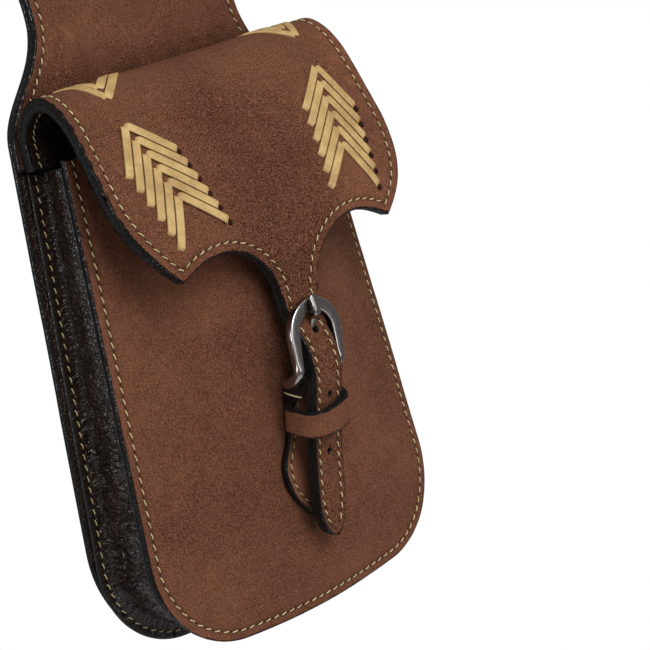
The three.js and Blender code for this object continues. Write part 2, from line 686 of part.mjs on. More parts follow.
for (const [name, sign] of [['left', -1], ['right', 1]]) {
  for (let k = 0; k < CHEVRON.count; k += 1) {
    const across = CHEVRON.across + k * CHEVRON.stepAcross;
    const down = CHEVRON.down + k * CHEVRON.stepDown;
    addPiece(`lace_${name}_${k + 1}`, chevron(across, down, sign, 1), lace);
  }
  for (let k = 0; k < FOLD_CHEVRON.count; k += 1) {
    const across = FOLD_CHEVRON[name][0] + k * CHEVRON.stepAcross;
    const down = FOLD_CHEVRON[name][1] - k * CHEVRON.stepDown;
    addPiece(`lace_fold_${name}_${k + 1}`, chevron(across, down, sign, -1), lace);
  }
}

export default bag;
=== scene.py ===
"""Leather, lacing, thread and buckle of a saddle horn bag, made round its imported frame.

Every surface is worked out with numpy in metres, in the frame's own axes: +Z up, the front faces
-Y and the origin is the centre of the horn hole.
"""

import math
from typing import NamedTuple

import bpy
import numpy as np
from bpy.props import FloatProperty, FloatVectorProperty, PointerProperty
from mathutils import Matrix, Vector


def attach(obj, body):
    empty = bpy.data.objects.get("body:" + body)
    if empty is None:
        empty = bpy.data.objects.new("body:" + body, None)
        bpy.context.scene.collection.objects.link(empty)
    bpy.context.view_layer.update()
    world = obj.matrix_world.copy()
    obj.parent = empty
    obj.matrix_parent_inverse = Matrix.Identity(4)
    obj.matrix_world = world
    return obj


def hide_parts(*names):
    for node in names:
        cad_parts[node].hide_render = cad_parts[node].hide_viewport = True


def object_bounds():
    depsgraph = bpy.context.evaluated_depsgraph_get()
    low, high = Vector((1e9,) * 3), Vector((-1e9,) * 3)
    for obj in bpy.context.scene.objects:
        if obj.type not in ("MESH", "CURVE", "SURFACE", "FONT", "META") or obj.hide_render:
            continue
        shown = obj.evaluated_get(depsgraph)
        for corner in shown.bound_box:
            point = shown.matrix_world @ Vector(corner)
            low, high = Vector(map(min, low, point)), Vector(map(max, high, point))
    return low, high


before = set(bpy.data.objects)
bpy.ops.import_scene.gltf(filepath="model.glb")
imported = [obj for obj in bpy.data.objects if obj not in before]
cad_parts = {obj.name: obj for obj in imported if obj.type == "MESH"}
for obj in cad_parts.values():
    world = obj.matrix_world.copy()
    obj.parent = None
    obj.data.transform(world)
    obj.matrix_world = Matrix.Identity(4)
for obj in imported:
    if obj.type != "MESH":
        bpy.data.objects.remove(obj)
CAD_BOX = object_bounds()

bl_info = {
    "name": "Saddle horn bag",
    "version": (1, 0, 0),
    "blender": (4, 5, 0),
    "location": "3D View > Sidebar > Bag",
    "description": "Makes the leather, lacing, thread and buckle of a saddle horn bag",
    "category": "Add Mesh",
}

MM = 0.001
MIRROR = np.array([-1.0, 1.0])


class Pocket(NamedTuple):
    """Outline of a pocket's panel: half width, radii, lean of the sides, heights of foot and top."""

    half: float
    corner: float
    bottom: float
    lean: float
    foot: float
    top: float


class Chevron(NamedTuple):
    """Place of a chevron's point beside the flap's middle and below the fold, and which way it points."""

    across: float
    down: float
    turn: int


class Layer(NamedTuple):
    """A layer of leather: its piece, finish, slot and thread, the swing and seed of its unevenness, and
    the share of the edge rounding that its hidden side gets."""

    piece: str
    finish: str
    slot: str
    thread: str | None
    swing: float
    seed: int
    under: float = 1.0


# Layers by the node that each stands for
LAYERS = {
    "back_panel": Layer("back_leather", "grained_black", "black_leather", "back_thread", 0.3 * MM, 3),
    "yoke_facing": Layer("yoke_suede", "rough_out_suede", "suede", "yoke_thread", 0.3 * MM, 5, 0.1),
    "gusset": Layer("gusset_leather", "wrinkled_black", "black_leather", "gusset_thread", 0.15 * MM, 7),
    "front_panel": Layer("front_suede", "rough_out_suede", "suede", "front_thread", 0.45 * MM, 9),
    "flap": Layer("flap_suede", "rougher_suede", "suede", "flap_thread", 0.3 * MM, 13, 0.1),
    "flap_lining": Layer(
        "flap_lining_leather", "grained_black", "black_leather", "lining_thread", 0.1 * MM, 15, 0.1),
    "buckle_chape": Layer("chape_suede", "rough_out_suede", "suede", "chape_thread", 0.0, 17),
    "strap_keeper": Layer("keeper_suede", "rough_out_suede", "suede", None, 0.2 * MM, 19),
}

# Unevenness of hide: size of its broad and fine waves, swing of the fine ones
BROAD_WAVE = 34 * MM
FINE_WAVE = 3.5 * MM
FINE_SWING = 0.05 * MM

# Grids: bands of fine cells beside edges, cells, steps along lines, and the most rounding of a thickness
EDGE_BAND = 8 * MM
PLATE_BAND = 7 * MM
PLATE_FINE = 1.0 * MM
BACK_CELL = 2.6 * MM
HOLE_WAY = 36 * MM
HOLE_FINE = 1.7 * MM
STRIP_CELL = 0.9 * MM
NECK_CELL = 0.4 * MM
NECK_END = 14 * MM
SMALL_CELL = 0.7 * MM
SEAM_STEP = 0.5 * MM
DENSE_STEP = 0.4 * MM
LOOP_SLACK = 0.12 * MM
LOBE_COLUMNS = 24
POINT_ROWS = 18
ROUNDING_SHARE = 0.45

# Seams and stitches: width of the pressed line, then a stitch's shape in shares of its thread
SEAM_WIDTH = 1.1 * MM
STITCH_RINGS = 7
STITCH_SIDES = 6
STITCH_SLANT = 0.55
STITCH_RISE = 0.34
STITCH_DIP = 0.72
STITCH_THINNING = 0.6

# A seam a metre off the sheet, for a layer that isn't sewn
NO_SEAM = [np.array([(0.0, 1.0), (0.01, 1.0)])]

# Pocket and gusset
FRONT = Pocket(79.4 * MM, 39 * MM, 465 * MM, 0.067, -1.8 * MM, 193.5 * MM)
BACK = Pocket(79.6 * MM, 46 * MM, 465 * MM, 0.048, -5.0 * MM, 200 * MM)
HORN_HEIGHT = 326 * MM
MOUTH = 190.4 * MM
FRONT_SEAM = 3.8 * MM
SEAM_DEPTH = 36.2 * MM
DEPTH_TAPER = 0.065
FOOT_BOW = 2.9 * MM
BOW_HEIGHT = 60 * MM
RIM_DROP = 1.0 * MM
BACK_FACE = -1.6 * MM

# Fullness of the stuffed front panel: share of the way up, swell
FULLNESS = np.array([
    (0.00, 0.0), (0.14, 5.2), (0.33, 11.0), (0.55, 18.5), (0.75, 22.5), (0.88, 20.0), (1.00, 15.0),
]) * (1, MM)

# Section of the gusset's channel: share round it, way out from the seam, share of its depth
CHANNEL = np.array([
    (0.00, 3.1, 0.00), (0.13, -2.6, 0.00), (0.20, -4.5, 0.07), (0.50, -3.7, 0.45),
    (0.80, -4.5, 0.93), (0.87, -2.6, 1.00), (1.00, 3.1, 1.00),
]) * (1, MM, 1)

# Grid and wrinkles of the gusset: part of the section that wrinkles, lower corners, sizes, seeds, swings
GUSSET_ROWS = 700
GUSSET_COLUMNS = 44
WEB_START = 0.16
WEB_SHARE = 0.68
WEB_POWER = 0.7
CORNER_HEIGHT = 22 * MM
CORNER_SPREAD = 38 * MM
WRINKLE_BEND = 16 * MM
WRINKLE_DRAW = 9 * MM
FINE_WRINKLE = 2.1 * MM
BROAD_WRINKLE = 7 * MM
BROAD_DRAW = 0.6
FINE_SEED = 11
BROAD_SEED = 12
FINE_EVERYWHERE = 0.12 * MM
FINE_AT_CORNERS = 0.50 * MM
BROAD_AT_CORNERS = 0.9 * MM
GUSSET_FLAT_DEPTH = 30 * MM

# Yoke and horn hole
WAIST = 53 * MM
WAIST_HEIGHT = 245 * MM
WAIST_DRIFT = 1.8 * MM
WAIST_HANDLE = 19 * MM
WAIST_RISE = 13 * MM
SHOULDER = 72 * MM
SHOULDER_HANDLE = 29 * MM
RING = 72 * MM
HOLE = 42 * MM
RING_TURN = -0.44
RING_PULL = 18 * MM
YOKE_SEAM = 4.0 * MM
FACING_FACE = 1.1 * MM
FACING_FOOT = MOUTH + 1 * MM

# Course of the flap and strap over the fold and down the front: height, way out
COURSE = np.array([
    (191.0, 1.5), (199.0, 1.5), (208.0, 2.6), (216.0, 7.5), (221.5, 16.0), (221.5, 24.0),
    (216.5, 32.0), (209.0, 38.0), (200.5, 42.2), (192.6, 45.6), (175.0, 52.8), (154.4, 59.6),
    (135.0, 60.0), (124.2, 59.6), (114.5, 61.3), (106.0, 65.4), (97.0, 66.8), (88.0, 65.2),
    (78.0, 62.2), (65.0, 58.8), (50.0, 55.8), (38.0, 54.0), (27.5, 52.8),
]) * MM

# Slouch of the flap: way down from the fold, rise for each metre to the right
SLOUCH = np.array([
    (-42, 0.0), (-15, 0.060), (0, 0.072), (30, 0.058), (80, 0.018), (112, 0.0),
]) * (MM, 1)

# Flap and strap, measured flat from the fold
FLAP_REAR_HALF = 70.5 * MM
FLAP_HALF = 75.5 * MM
FLAP_FULL = 55 * MM
LOBE_TIP = np.array([57.5, 93.6]) * MM
SCALLOP_TOP = np.array([37.0, 87.7]) * MM
TONGUE = np.array([9.6, 113.0]) * MM
STRAP_HALF = 8 * MM
STRAP_START = 122 * MM
STRAP_POINT = 16 * MM
STRAP_TAPER = 1.6
STRAP_BLUNT = 0.4 * MM
STRAP_DRIFT_START = TONGUE[1] - 15 * MM
FLAP_SEAM = 4.0 * MM
STRAP_SEAM = 2.7 * MM
SEAM_NARROWS = np.array([104, 124]) * MM

# Handles of the flap's curves: beside and below a lobe, inside it, at the tongue, beside the scallop's top
LOBE_SIDE_HANDLE = 72 * MM
LOBE_OUTER_HANDLE = np.array([68.5, 84.0]) * MM
LOBE_INNER_HANDLE = np.array([50.0, 90.0]) * MM
TONGUE_HANDLE = np.array([10.5, 99.0]) * MM
SCALLOP_HANDLES = np.array([22.0, 45.0]) * MM

# Wear of the nap, with painted light and shade, paler above nought, and the bands in which each starts and
# ends
SIDE_RUB = 0.09
SIDE_BAND = np.array([20, 45]) * MM
MIDDLE_RUB = -0.17
MIDDLE_SPREAD = 26 * MM
MIDDLE_BAND = np.array([8, 35]) * MM
STRAP_EASING = 0.6
STRAP_BAND = np.array([105, 120]) * MM
# Paler by the fold: partly wear where the flap bends, partly painted light from above
FOLD_WEAR_AND_LIGHT = 0.08
FOLD_BAND = np.array([8, 40]) * MM
# Painted shade of the flap's fold on the yoke's foot
YOKE_FOOT_SHADE = -0.34
YOKE_SHADE_BAND = np.array([214, 238]) * MM
# Painted light on the chape, making its suede paler
CHAPE_PAINTED_LIGHT = 0.55

# Rubbed patches of the flap: across, down, half width, half height
PATCH_RUB = 0.1
RUBBED = np.array([(22, 24, 18, 12), (52, 78, 14, 12)]) * MM

# Where the prong goes through the strap, and the strap's holes: across, down, half width, half length
PRONG_HOLE = np.array([0.9, 125.8]) * MM
STRAP_HOLES = np.array([(0.9, 126.2, 0.9, 1.2), (0.3, 153.0, 0.6, 0.8), (0.1, 176.6, 0.7, 0.9)]) * MM


def ladder(across, down, turn, count):
    """Chevrons in a row: from the first one's place in millimetres, each is a step further in and on."""
    step_in, step_on = 1.38, 6.44
    return [
        Chevron((across - step_in * k) * MM, (down + turn * step_on * k) * MM, turn)
        for k in range(count)]


# Lacing: rows of chevrons, ends of their arms from the point, shape of an arm, layers in thicknesses
CHEVRONS = ladder(52.4, 28.8, 1, 6)
LEFT_FOLD = ladder(51.0, 15.6, -1, 2)
RIGHT_FOLD = ladder(54.6, 13.4, -1, 2)
INNER_ARM = np.array([-17.3, 15.7]) * MM
OUTER_ARM = np.array([9.8, 20.7]) * MM
ARM_STEPS = 31
ARM_DIP = 1.9
ARM_DIP_REACH = 0.85 * MM
ARM_TAPER = 1.5 * MM
ARM_BLUNT = 0.45
ARM_CORNER = 0.24 * MM
OVERLAP_LIFT = 0.3
FOLD_PRESS = -0.4

# Painted shade of the lacing's slots: way beyond an arm's end, and radius and lift of their rings
SLOT_BEYOND = 0.6 * MM
SLOT_SIDES = 12
SLOT_RADII = np.array([1.5, 1.1, 0.5, 0.02]) * MM
SLOT_LIFTS = np.array([-0.10, 0.10, 0.14, 0.14]) * MM

# Buckle, chape and keeper
BUCKLE_HALF = 13.9 * MM
BUCKLE_INNER = 9.2 * MM
BUCKLE_SPRING = 109.3 * MM
LEG_MIDDLE = 12.0 * MM
LEG_HALF_WIDTH = 1.8 * MM
LEG_DRAWN_IN = 1.5 * MM
BUCKLE_FOOT = 98.3 * MM
BUCKLE_BACK = 61.2 * MM
BUCKLE_THICK = 3.4 * MM
BUCKLE_CORNER = 0.6 * MM
ROUND_SHARE = 0.98
FOOT_ROUNDNESS = 0.8
FOOT_WEAR = 0.3
METAL_STEPS = 4
BAR_HEIGHT = 92 * MM
BAR_OUT = 55.2 * MM
BAR_RADIUS = 1.6 * MM
BAR_REACH = 11.2 * MM
FOOT_RADIUS = 2.1 * MM
PRONG_WIDTH = 3.5 * MM
PRONG_THICK = 2.0 * MM
PRONG_CORNER = 0.55 * MM
PRONG_SLIM = 0.76
PRONG_WIDENS = np.array([0.52, 0.72])
PRONG_STEP = 4.2 * MM
PRONG_UNDER = 2.8 * MM
PRONG_OVER = 2.4 * MM
SLEEVE_CLEAR = 0.75 * MM
SLEEVE_HALF = 2.1 * MM
SLEEVE_HALF_THICK = 0.7 * MM
SLEEVE_CORNER = 0.45 * MM
SLEEVE_TURN = np.linspace(-0.5, 2 * math.pi - 1.1, 30)
CHAPE_FOOT = 35 * MM
CHAPE_WIDEST = np.array([12.6, 56.5]) * MM
CHAPE_WAIST = np.array([7.4, 75.0]) * MM
CHAPE_FOOT_HANDLE = np.array([5.5, 39.5]) * MM
CHAPE_WIDEST_HANDLES = np.array([46.0, 63.5]) * MM
CHAPE_WAIST_HANDLE = 66 * MM
CHAPE_NECK = 86.5 * MM
NECK_TO_SLOT = 1 * MM
SEAM_TO_NECK = 3 * MM
NECK_THINS = np.array([-3.0, 2.0]) * MM
CHAPE_THICK = 3.0 * MM
CHAPE_COLUMNS = 33
CHAPE_STEP = 0.8 * MM
CHAPE_TIP = 0.3 * MM
CHAPE_LOOP = (2.1, -2.2)
WEDGE_FOOT = 76 * MM
WEDGE_RISE = 7.4 * MM
WEDGE_POWER = 1.4
CHAPE_SLOT = 2.7 * MM
CHAPE_SEAM = 3.0 * MM
TACK_HEIGHTS = np.array([88.0, 85.8]) * MM
TACK_OUT = np.array([47.6, 56.4]) * MM
TACK_THREAD = 1.5
KEEPER_HALF = 10.5 * MM
KEEPER_WALL = 3.1 * MM
KEEPER_HEIGHT = 80 * MM
KEEPER_TALL = 11.2 * MM
KEEPER_LIFT = 3.4 * MM
KEEPER_ROUND = 6.2 * MM
KEEPER_CROWN = 1.6 * MM
KEEPER_FLARE = 0.1
KEEPER_TILT = 0.2
KEEPER_TUCK = 1.35
TUCK_CLEAR = 0.1 * MM
KEEPER_LONG_SIDE = 1.16
KEEPER_SLANT = 0.17
SEWN_ASIDE = np.array([-1.0, 0, 0]) * MM

# Stage: place and size of each light, rings of the floor, width of the camera's sensor
LIGHTS = {
    "key": ((-0.40, -1.22, 0.76), 0.9),
    "fill": ((0.25, -1.45, -0.15), 1.2),
    "edge": ((-1.25, 0.35, -0.10), 0.5),
}
FLOOR_RADII = np.array([0.01, 0.15, 0.30, 0.45])
FLOOR_SIDES = 64
SENSOR = 36


def length_setting(name, description, default):
    """A length property."""
    return FloatProperty(name=name, description=description, default=default, unit="LENGTH")


def power_setting(name, description, default):
    """A property for a light's power."""
    return FloatProperty(name=name, description=description, default=default, unit="POWER")


def place_setting(name, description, default):
    """A property for a place."""
    return FloatVectorProperty(
        name=name, description=description, default=default, subtype="TRANSLATION", unit="LENGTH")


def colour_setting(name, description, default):
    """A colour property."""
    return FloatVectorProperty(
        name=name, description=description, default=default, subtype="COLOR", min=0, max=1)


class BagSizes(bpy.types.PropertyGroup):
    """Thicknesses, clearances and thread that a maker would choose."""

    hide: length_setting("Hide", "Thickness of the flap, yoke and back leather", 2.4 * MM)
    panel: length_setting("Panel", "Thickness of the front panel", 2.6 * MM)
    gusset: length_setting("Gusset", "Thickness of the soft gusset leather", 1.4 * MM)
    gap: length_setting("Gap", "Clearance between sewn layers", 0.3 * MM)
    rounding: length_setting("Edge rounding", "Radius of the rubbed edges of the leather", 0.75 * MM)
    cell: length_setting("Cell", "Size of the surface's cells", 1.4 * MM)
    fine_cell: length_setting("Fine cell", "Size of the cells beside seams and edges", 0.8 * MM)
    pitch: length_setting("Stitch pitch", "Distance from one stitch to the next", 4.23 * MM)
    stitch: length_setting("Stitch length", "Length of the thread that shows", 2.5 * MM)
    thread: length_setting("Thread", "Thickness of the sewing thread", 0.55 * MM)
    groove: length_setting("Seam groove", "How far a seam pulls into the leather", 0.45 * MM)
    lace_width: length_setting("Lace width", "Width of the lacing", 3.3 * MM)
    lace_thick: length_setting("Lace thickness", "Thickness of the lacing", 0.9 * MM)


class BagColours(bpy.types.PropertyGroup):
    """Colours of the bag's finishes."""

    suede_dark: colour_setting("Suede, dark", "Shade between the fibres of the nap", (0.035, 0.0107, 0.0052))
    suede_pale: colour_setting("Suede, pale", "Rubbed tips of the nap", (0.250, 0.102, 0.0570))
    black: colour_setting("Black leather", "Gusset, lining and back", (0.0120, 0.0066, 0.0046))
    edge: colour_setting("Edge dye", "Dyed cut edges", (0.0035, 0.0032, 0.0032))
    lace_dark: colour_setting("Lace, dark", "Creases of the lacing", (0.28, 0.165, 0.056))
    lace_pale: colour_setting("Lace, pale", "Face of the lacing", (0.52, 0.355, 0.142))
    thread: colour_setting("Thread", "Sewing thread", (0.56, 0.46, 0.23))
    nickel: colour_setting("Nickel", "Dark plating of the buckle", (0.25, 0.228, 0.22))
    nickel_worn: colour_setting("Worn nickel", "Rubbed edges of the buckle", (0.78, 0.75, 0.72))
    # Painted shade of the lacing's slots and of the suede's needle holes
    shade: colour_setting("Slots", "Depth of the lacing's slots", (0.012, 0.006, 0.005))
    floor: colour_setting("Floor", "Pale studio floor", (0.90, 0.90, 0.90))


class BagStage(bpy.types.PropertyGroup):
    """Camera, lights and floor."""

    eye: place_setting("Camera", "Where the camera stands", (-0.4608, -0.5213, -0.1106))
    target: place_setting("Target", "Point that the camera looks at", (-0.00305, -0.07141, -0.21339))
    roll: FloatProperty(
        name="Roll", description="Turn of the camera about its own axis",
        default=math.radians(-11.69), unit="ROTATION")
    lens: FloatProperty(
        name="Lens", description="Focal length on a 36 mm sensor, in millimetres", default=95.53)
    key_power: power_setting("Key light", "Power of the large light above the front", 24)
    fill_power: power_setting("Fill light", "Power of the light in front", 8.2)
    edge_power: power_setting("Edge light", "Power of the light at the left", 7)
    ambient: FloatProperty(
        name="Ambient", description="Strength of the light from all round", default=0.24)
    floor_drop: length_setting("Floor drop", "Distance of the floor below the bag", 0.30)


# Lines and tables

def place(across, height, out):
    """Points of the frame, from across, up from the pocket's foot and out from the back."""
    return np.stack(np.broadcast_arrays(across, -out, height - HORN_HEIGHT), axis=-1)


def unit(vectors):
    """Vectors of length one."""
    return vectors / np.maximum(np.linalg.norm(vectors, axis=-1, keepdims=True), 1e-12)


def arc(centre, radius, start, end, steps=120):
    """Arc of a circle: centre plus radius times cosine and sine of evenly spaced angles."""
    angle = np.linspace(start, end, steps)
    return np.stack([centre[0] + radius * np.cos(angle), centre[1] + radius * np.sin(angle)], axis=1)


def bezier(*points, steps=90):
    """Cubic curve: four points weighted by the Bernstein terms of an even parameter."""
    t = np.linspace(0, 1, steps)[:, None]
    weights = ((1 - t) ** 3, 3 * t * (1 - t) ** 2, 3 * t * t * (1 - t), t ** 3)
    return sum(weight * np.asarray(point) for weight, point in zip(weights, points))


def run_of(line):
    """Length of a line from its start to each of its points."""
    return np.concatenate([[0], np.cumsum(np.linalg.norm(np.diff(line, axis=0), axis=1))])


def along(line, share):
    """Points at shares of a line's length, each coordinate read linearly by length."""
    run = run_of(line)
    at = np.asarray(share) * run[-1]
    return np.stack([np.interp(at, run, column) for column in line.T], axis=-1)


def evenly(line, spacing):
    """A line drawn again with even steps close to the spacing."""
    steps = max(2, int(round(run_of(line)[-1] / spacing)))
    return along(line, np.linspace(0, 1, steps + 1))


def heading(line):
    """Unit direction of a line at each of its points."""
    return unit(np.gradient(line, axis=0))


def rightward(direction):
    """Flat direction a quarter turn to the right of another."""
    return np.stack([direction[..., 1], -direction[..., 0]], axis=-1)


def ease(x, start, end):
    """Smoothstep from 0 at the start to 1 at the end."""
    t = np.clip((x - start) / (end - start), 0, 1)
    return t * t * (3 - 2 * t)


def smooth(table, x):
    """Hermite curve through a table's rows, with slopes taken between the rows either side."""
    xs, ys = table.T
    order = np.arange(len(xs))
    before = np.maximum(order - 1, 0)
    after = np.minimum(order + 1, len(xs) - 1)
    slope = (ys[after] - ys[before]) / (xs[after] - xs[before])
    k = np.clip(np.searchsorted(xs, x), 1, len(xs) - 1)
    span = xs[k] - xs[k - 1]
    t = np.clip((x - xs[k - 1]) / span, 0, 1)
    rise = t * t * (3 - 2 * t)
    bend = t * (1 - t) * ((1 - t) * slope[k - 1] - t * slope[k]) * span
    return (1 - rise) * ys[k - 1] + rise * ys[k] + bend


def spread(start, end, cell):
    """Even values from start to end, about a cell apart."""
    return np.linspace(start, end, max(1, int(round(abs(end - start) / cell))) + 1)


def close_at_ends(length, margin, cell, fine):
    """Shares of a length, in fine steps within a margin of both ends and coarser between."""
    low = spread(0, margin, fine)
    middle = spread(margin, length - margin, cell)[1:-1]
    return np.concatenate([low, middle, length - low[::-1]]) / length


def soft_noise(points, size, seed, side=24):
    """Smooth value noise from -1 to 1: random values on a lattice, blended by smoothstep weights."""
    lattice = np.random.default_rng(seed).uniform(-1, 1, (side, side, side))
    cell = points / size
    base = np.floor(cell).astype(int)
    part = cell - base
    part = part * part * (3 - 2 * part)
    total = np.zeros(len(points))
    for corner in np.ndindex(2, 2, 2):
        index = (base + corner) % side
        weight = np.where(np.array(corner) == 1, part, 1 - part).prod(axis=1)
        total += weight * lattice[index[:, 0], index[:, 1], index[:, 2]]
    return total


# Meshes

def grid_quads(rows, columns, closed=False):
    """Quads of a grid of points stored row by row; a closed grid joins its last column to its first."""
    i, j = np.meshgrid(np.arange(rows - 1), np.arange(columns if closed else columns - 1), indexing="ij")
    right = (j + 1) % columns
    quads = [i * columns + j, i * columns + right, (i + 1) * columns + right, (i + 1) * columns + j]
    return np.stack(quads, axis=-1).reshape(-1, 4)


def face_vectors(points, quads):
    """Normal of each quad, as long as twice its area: the cross product of its diagonals."""
    a, b, c, d = (points[quads[:, k]] for k in range(4))
    return np.cross(c - a, d - b)


def point_normals(points, quads):
    """Normal at each point: the sum of the normals of the quads round it."""
    total = np.zeros_like(points)
    normals = face_vectors(points, quads)
    for k in range(4):
        np.add.at(total, quads[:, k], normals)
    return unit(total)


def border_of(points, quads, normal):
    """Border edges of a sheet, its border points, and the way out of the sheet at each of them.

    An edge that belongs to one quad alone is a border edge. The way out is its direction crossed
    with the normal, added up at both of its ends.
    """
    starts = quads.ravel()
    ends = np.roll(quads, -1, axis=1).ravel()
    key = np.minimum(starts, ends) * len(points) + np.maximum(starts, ends)
    _, first, count = np.unique(key, return_index=True, return_counts=True)
    single = first[count == 1]
    edges = np.stack([starts[single], ends[single]], axis=1)
    border = np.unique(edges)
    out = np.zeros_like(points)
    step = unit(np.cross(points[edges[:, 1]] - points[edges[:, 0]], normal[edges[:, 0]]))
    np.add.at(out, edges[:, 0], step)
    np.add.at(out, edges[:, 1], step)
    return edges, border, unit(out[border])


def capped_tubes(points):
    """Points, quads and end caps of closed tubes, given as the rings of points of each tube."""
    count, rings, sides = points.shape[:3]
    first = (np.arange(count) * rings * sides)[:, None]
    quads = (grid_quads(rings, sides, closed=True)[None] + first[..., None]).reshape(-1, 4)
    last = first + (rings - 1) * sides
    caps = np.concatenate([first + np.arange(sides)[::-1], last + np.arange(sides)])
    return points.reshape(-1, 3), quads, caps


def only_used(quads):
    """Numbers of the points that quads use, and the quads with those points counted afresh."""
    used, renumbered = np.unique(quads, return_inverse=True)
    return used, renumbered.reshape(-1, 4)


def nearest(points, targets, block_size=1500):
    """Index of the target nearest to each point, worked out a block of points at a time."""
    blocks = np.array_split(points, max(1, len(points) // block_size))
    return np.concatenate([
        ((block[:, None] - targets[None]) ** 2).sum(axis=-1).argmin(axis=1) for block in blocks])


def hide_layer(outer, quads, thickness, rounding, under, steps=4):
    """Closed layer of leather under a sheet, with rounded edges.

    The inner sheet lies a thickness down each normal. Both sheets draw in by their rounding at the
    border, and rings between them follow a quarter circle, the wall and a second quarter circle.
    The rim mark is the distance from the border on the sheets and minus the depth on the wall.
    """
    count = len(outer)
    normal = point_normals(outer, quads)
    edges, border, out = border_of(outer, quads, normal)
    depth = np.broadcast_to(np.asarray(thickness, float), (count,))
    inner = outer - normal * depth[:, None]
    rim = np.linalg.norm(outer - outer[border][nearest(outer, outer[border])], axis=1)
    bend = np.linspace(0, math.pi / 2, steps)
    drawn, sunk = 1 - np.sin(bend), 1 - np.cos(bend)
    insets = np.concatenate([rounding * drawn, under * drawn[::-1]])[:, None]
    depths = np.concatenate([
        np.broadcast_to(rounding * sunk[:, None], (steps, len(border))),
        depth[border] - under * sunk[::-1, None]])
    rings = outer[border] - out * insets[..., None] - normal[border] * depths[..., None]
    top, low = outer.copy(), inner.copy()
    top[border] = rings[0]
    low[border] = rings[-1]
    points = np.concatenate([top, low, rings[1:-1].reshape(-1, 3)])
    slot = np.zeros(count, int)
    slot[border] = np.arange(len(border))
    wall = [border[slot[edges]]]
    wall += [2 * count + k * len(border) + slot[edges] for k in range(len(rings) - 2)]
    wall += [count + border[slot[edges]]]
    sides = [
        np.stack([high[:, 1], high[:, 0], below[:, 0], below[:, 1]], axis=1)
        for high, below in zip(wall[:-1], wall[1:])]
    faces = np.concatenate([quads, quads[:, ::-1] + count, *sides])
    return points, faces, np.concatenate([rim, rim, -depths[1:-1].ravel()])


def outwards(points, quads):
    """Quads turned to point outwards, by the sign of the volume that they close."""
    a, b, c, d = (points[quads[:, k]] for k in range(4))
    volume = (a * (np.cross(b, c) + np.cross(c, d))).sum()
    return quads if volume > 0 else quads[:, ::-1]


def make_piece(name, points, faces, material, marks=None, caps=()):
    """A smooth mesh object from points and faces, with a float attribute for each mark."""
    mesh = bpy.data.meshes.new(name)
    mesh.from_pydata(points.tolist(), [], [*faces.tolist(), *(list(cap) for cap in caps)])
    for label, values in (marks or {}).items():
        attribute = mesh.attributes.new(label, "FLOAT", "POINT")
        attribute.data.foreach_set("value", np.asarray(values, dtype=np.float32))
    mesh.shade_smooth()
    mesh.materials.append(material)
    piece = bpy.data.objects.new(name, mesh)
    bpy.context.scene.collection.objects.link(piece)
    return piece


def settle(piece, slot, *nodes):
    """Ties a piece to the frame's root body and hides the nodes that it stands for; the slot is not used."""
    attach(piece, "root")
    if nodes:
        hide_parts(*nodes)


# Seams

def seam_field(flat, seams):
    """How far along the nearest seam each flat point lies, and how far to its right.

    The nearest point of the seams gives the run; the offset from it, taken along and across the
    seam's direction, corrects the run and gives the signed distance.
    """
    spots = np.concatenate(seams)
    runs = np.concatenate([run_of(seam) for seam in seams])
    ways = np.concatenate([heading(seam) for seam in seams])
    index = nearest(flat, spots)
    offset = flat - spots[index]
    run = runs[index] + (offset * ways[index]).sum(axis=1)
    return run, (offset * rightward(ways[index])).sum(axis=1)


def worked(outer, quads, flat, seams, sizes, swing, seed):
    """A sheet with its seams pressed in and the soft unevenness of hide.

    Each point moves along its normal: down by a bell curve of its distance from the nearest seam,
    and up or down by broad and by fine smooth noise.
    """
    run, aside = seam_field(flat, seams)
    pressed = sizes.groove * np.exp(-(aside / SEAM_WIDTH) ** 2)
    uneven = (swing * soft_noise(outer, BROAD_WAVE, seed)
              + FINE_SWING * soft_noise(outer, FINE_WAVE, seed + 1))
    moved = outer + point_normals(outer, quads) * (uneven - pressed)[:, None]
    return moved, {"seam_run": run / sizes.pitch, "seam_aside": aside}


def both_sheets(marks, rim):
    """Marks of a sheet carried to its inner side and, as far from any seam, to its wall."""
    wall = len(rim) - 2 * len(marks["seam_run"])
    far = {"seam_run": 0.0, "seam_aside": 1.0, "wear_and_painted_light": 0.0}
    full = {key: np.concatenate([v, v, np.full(wall, far[key])]) for key, v in marks.items()}
    return {**full, "rim": rim}


def frames_on(flat, outer, normals, spots, ways, count=16):
    """Place, heading and normal on a sheet at flat spots.

    Least squares over a count of the nearest points give the place and its slopes along both flat
    directions; the slopes give the heading, and their cross product the normal.
    """
    near = np.stack([((flat - spot) ** 2).sum(axis=1).argsort()[:count] for spot in spots])
    offset = flat[near] - spots[:, None]
    basis = np.concatenate([np.ones((*near.shape, 1)), offset], axis=-1)
    solved = np.linalg.pinv(basis) @ outer[near]
    forward = unit(solved[:, 1] * ways[:, :1] + solved[:, 2] * ways[:, 1:])
    normal = unit(np.cross(solved[:, 1], solved[:, 2]))
    side = np.sign((normal * normals[near[:, 0]]).sum(axis=1, keepdims=True))
    return solved[:, 0], forward, normal * side


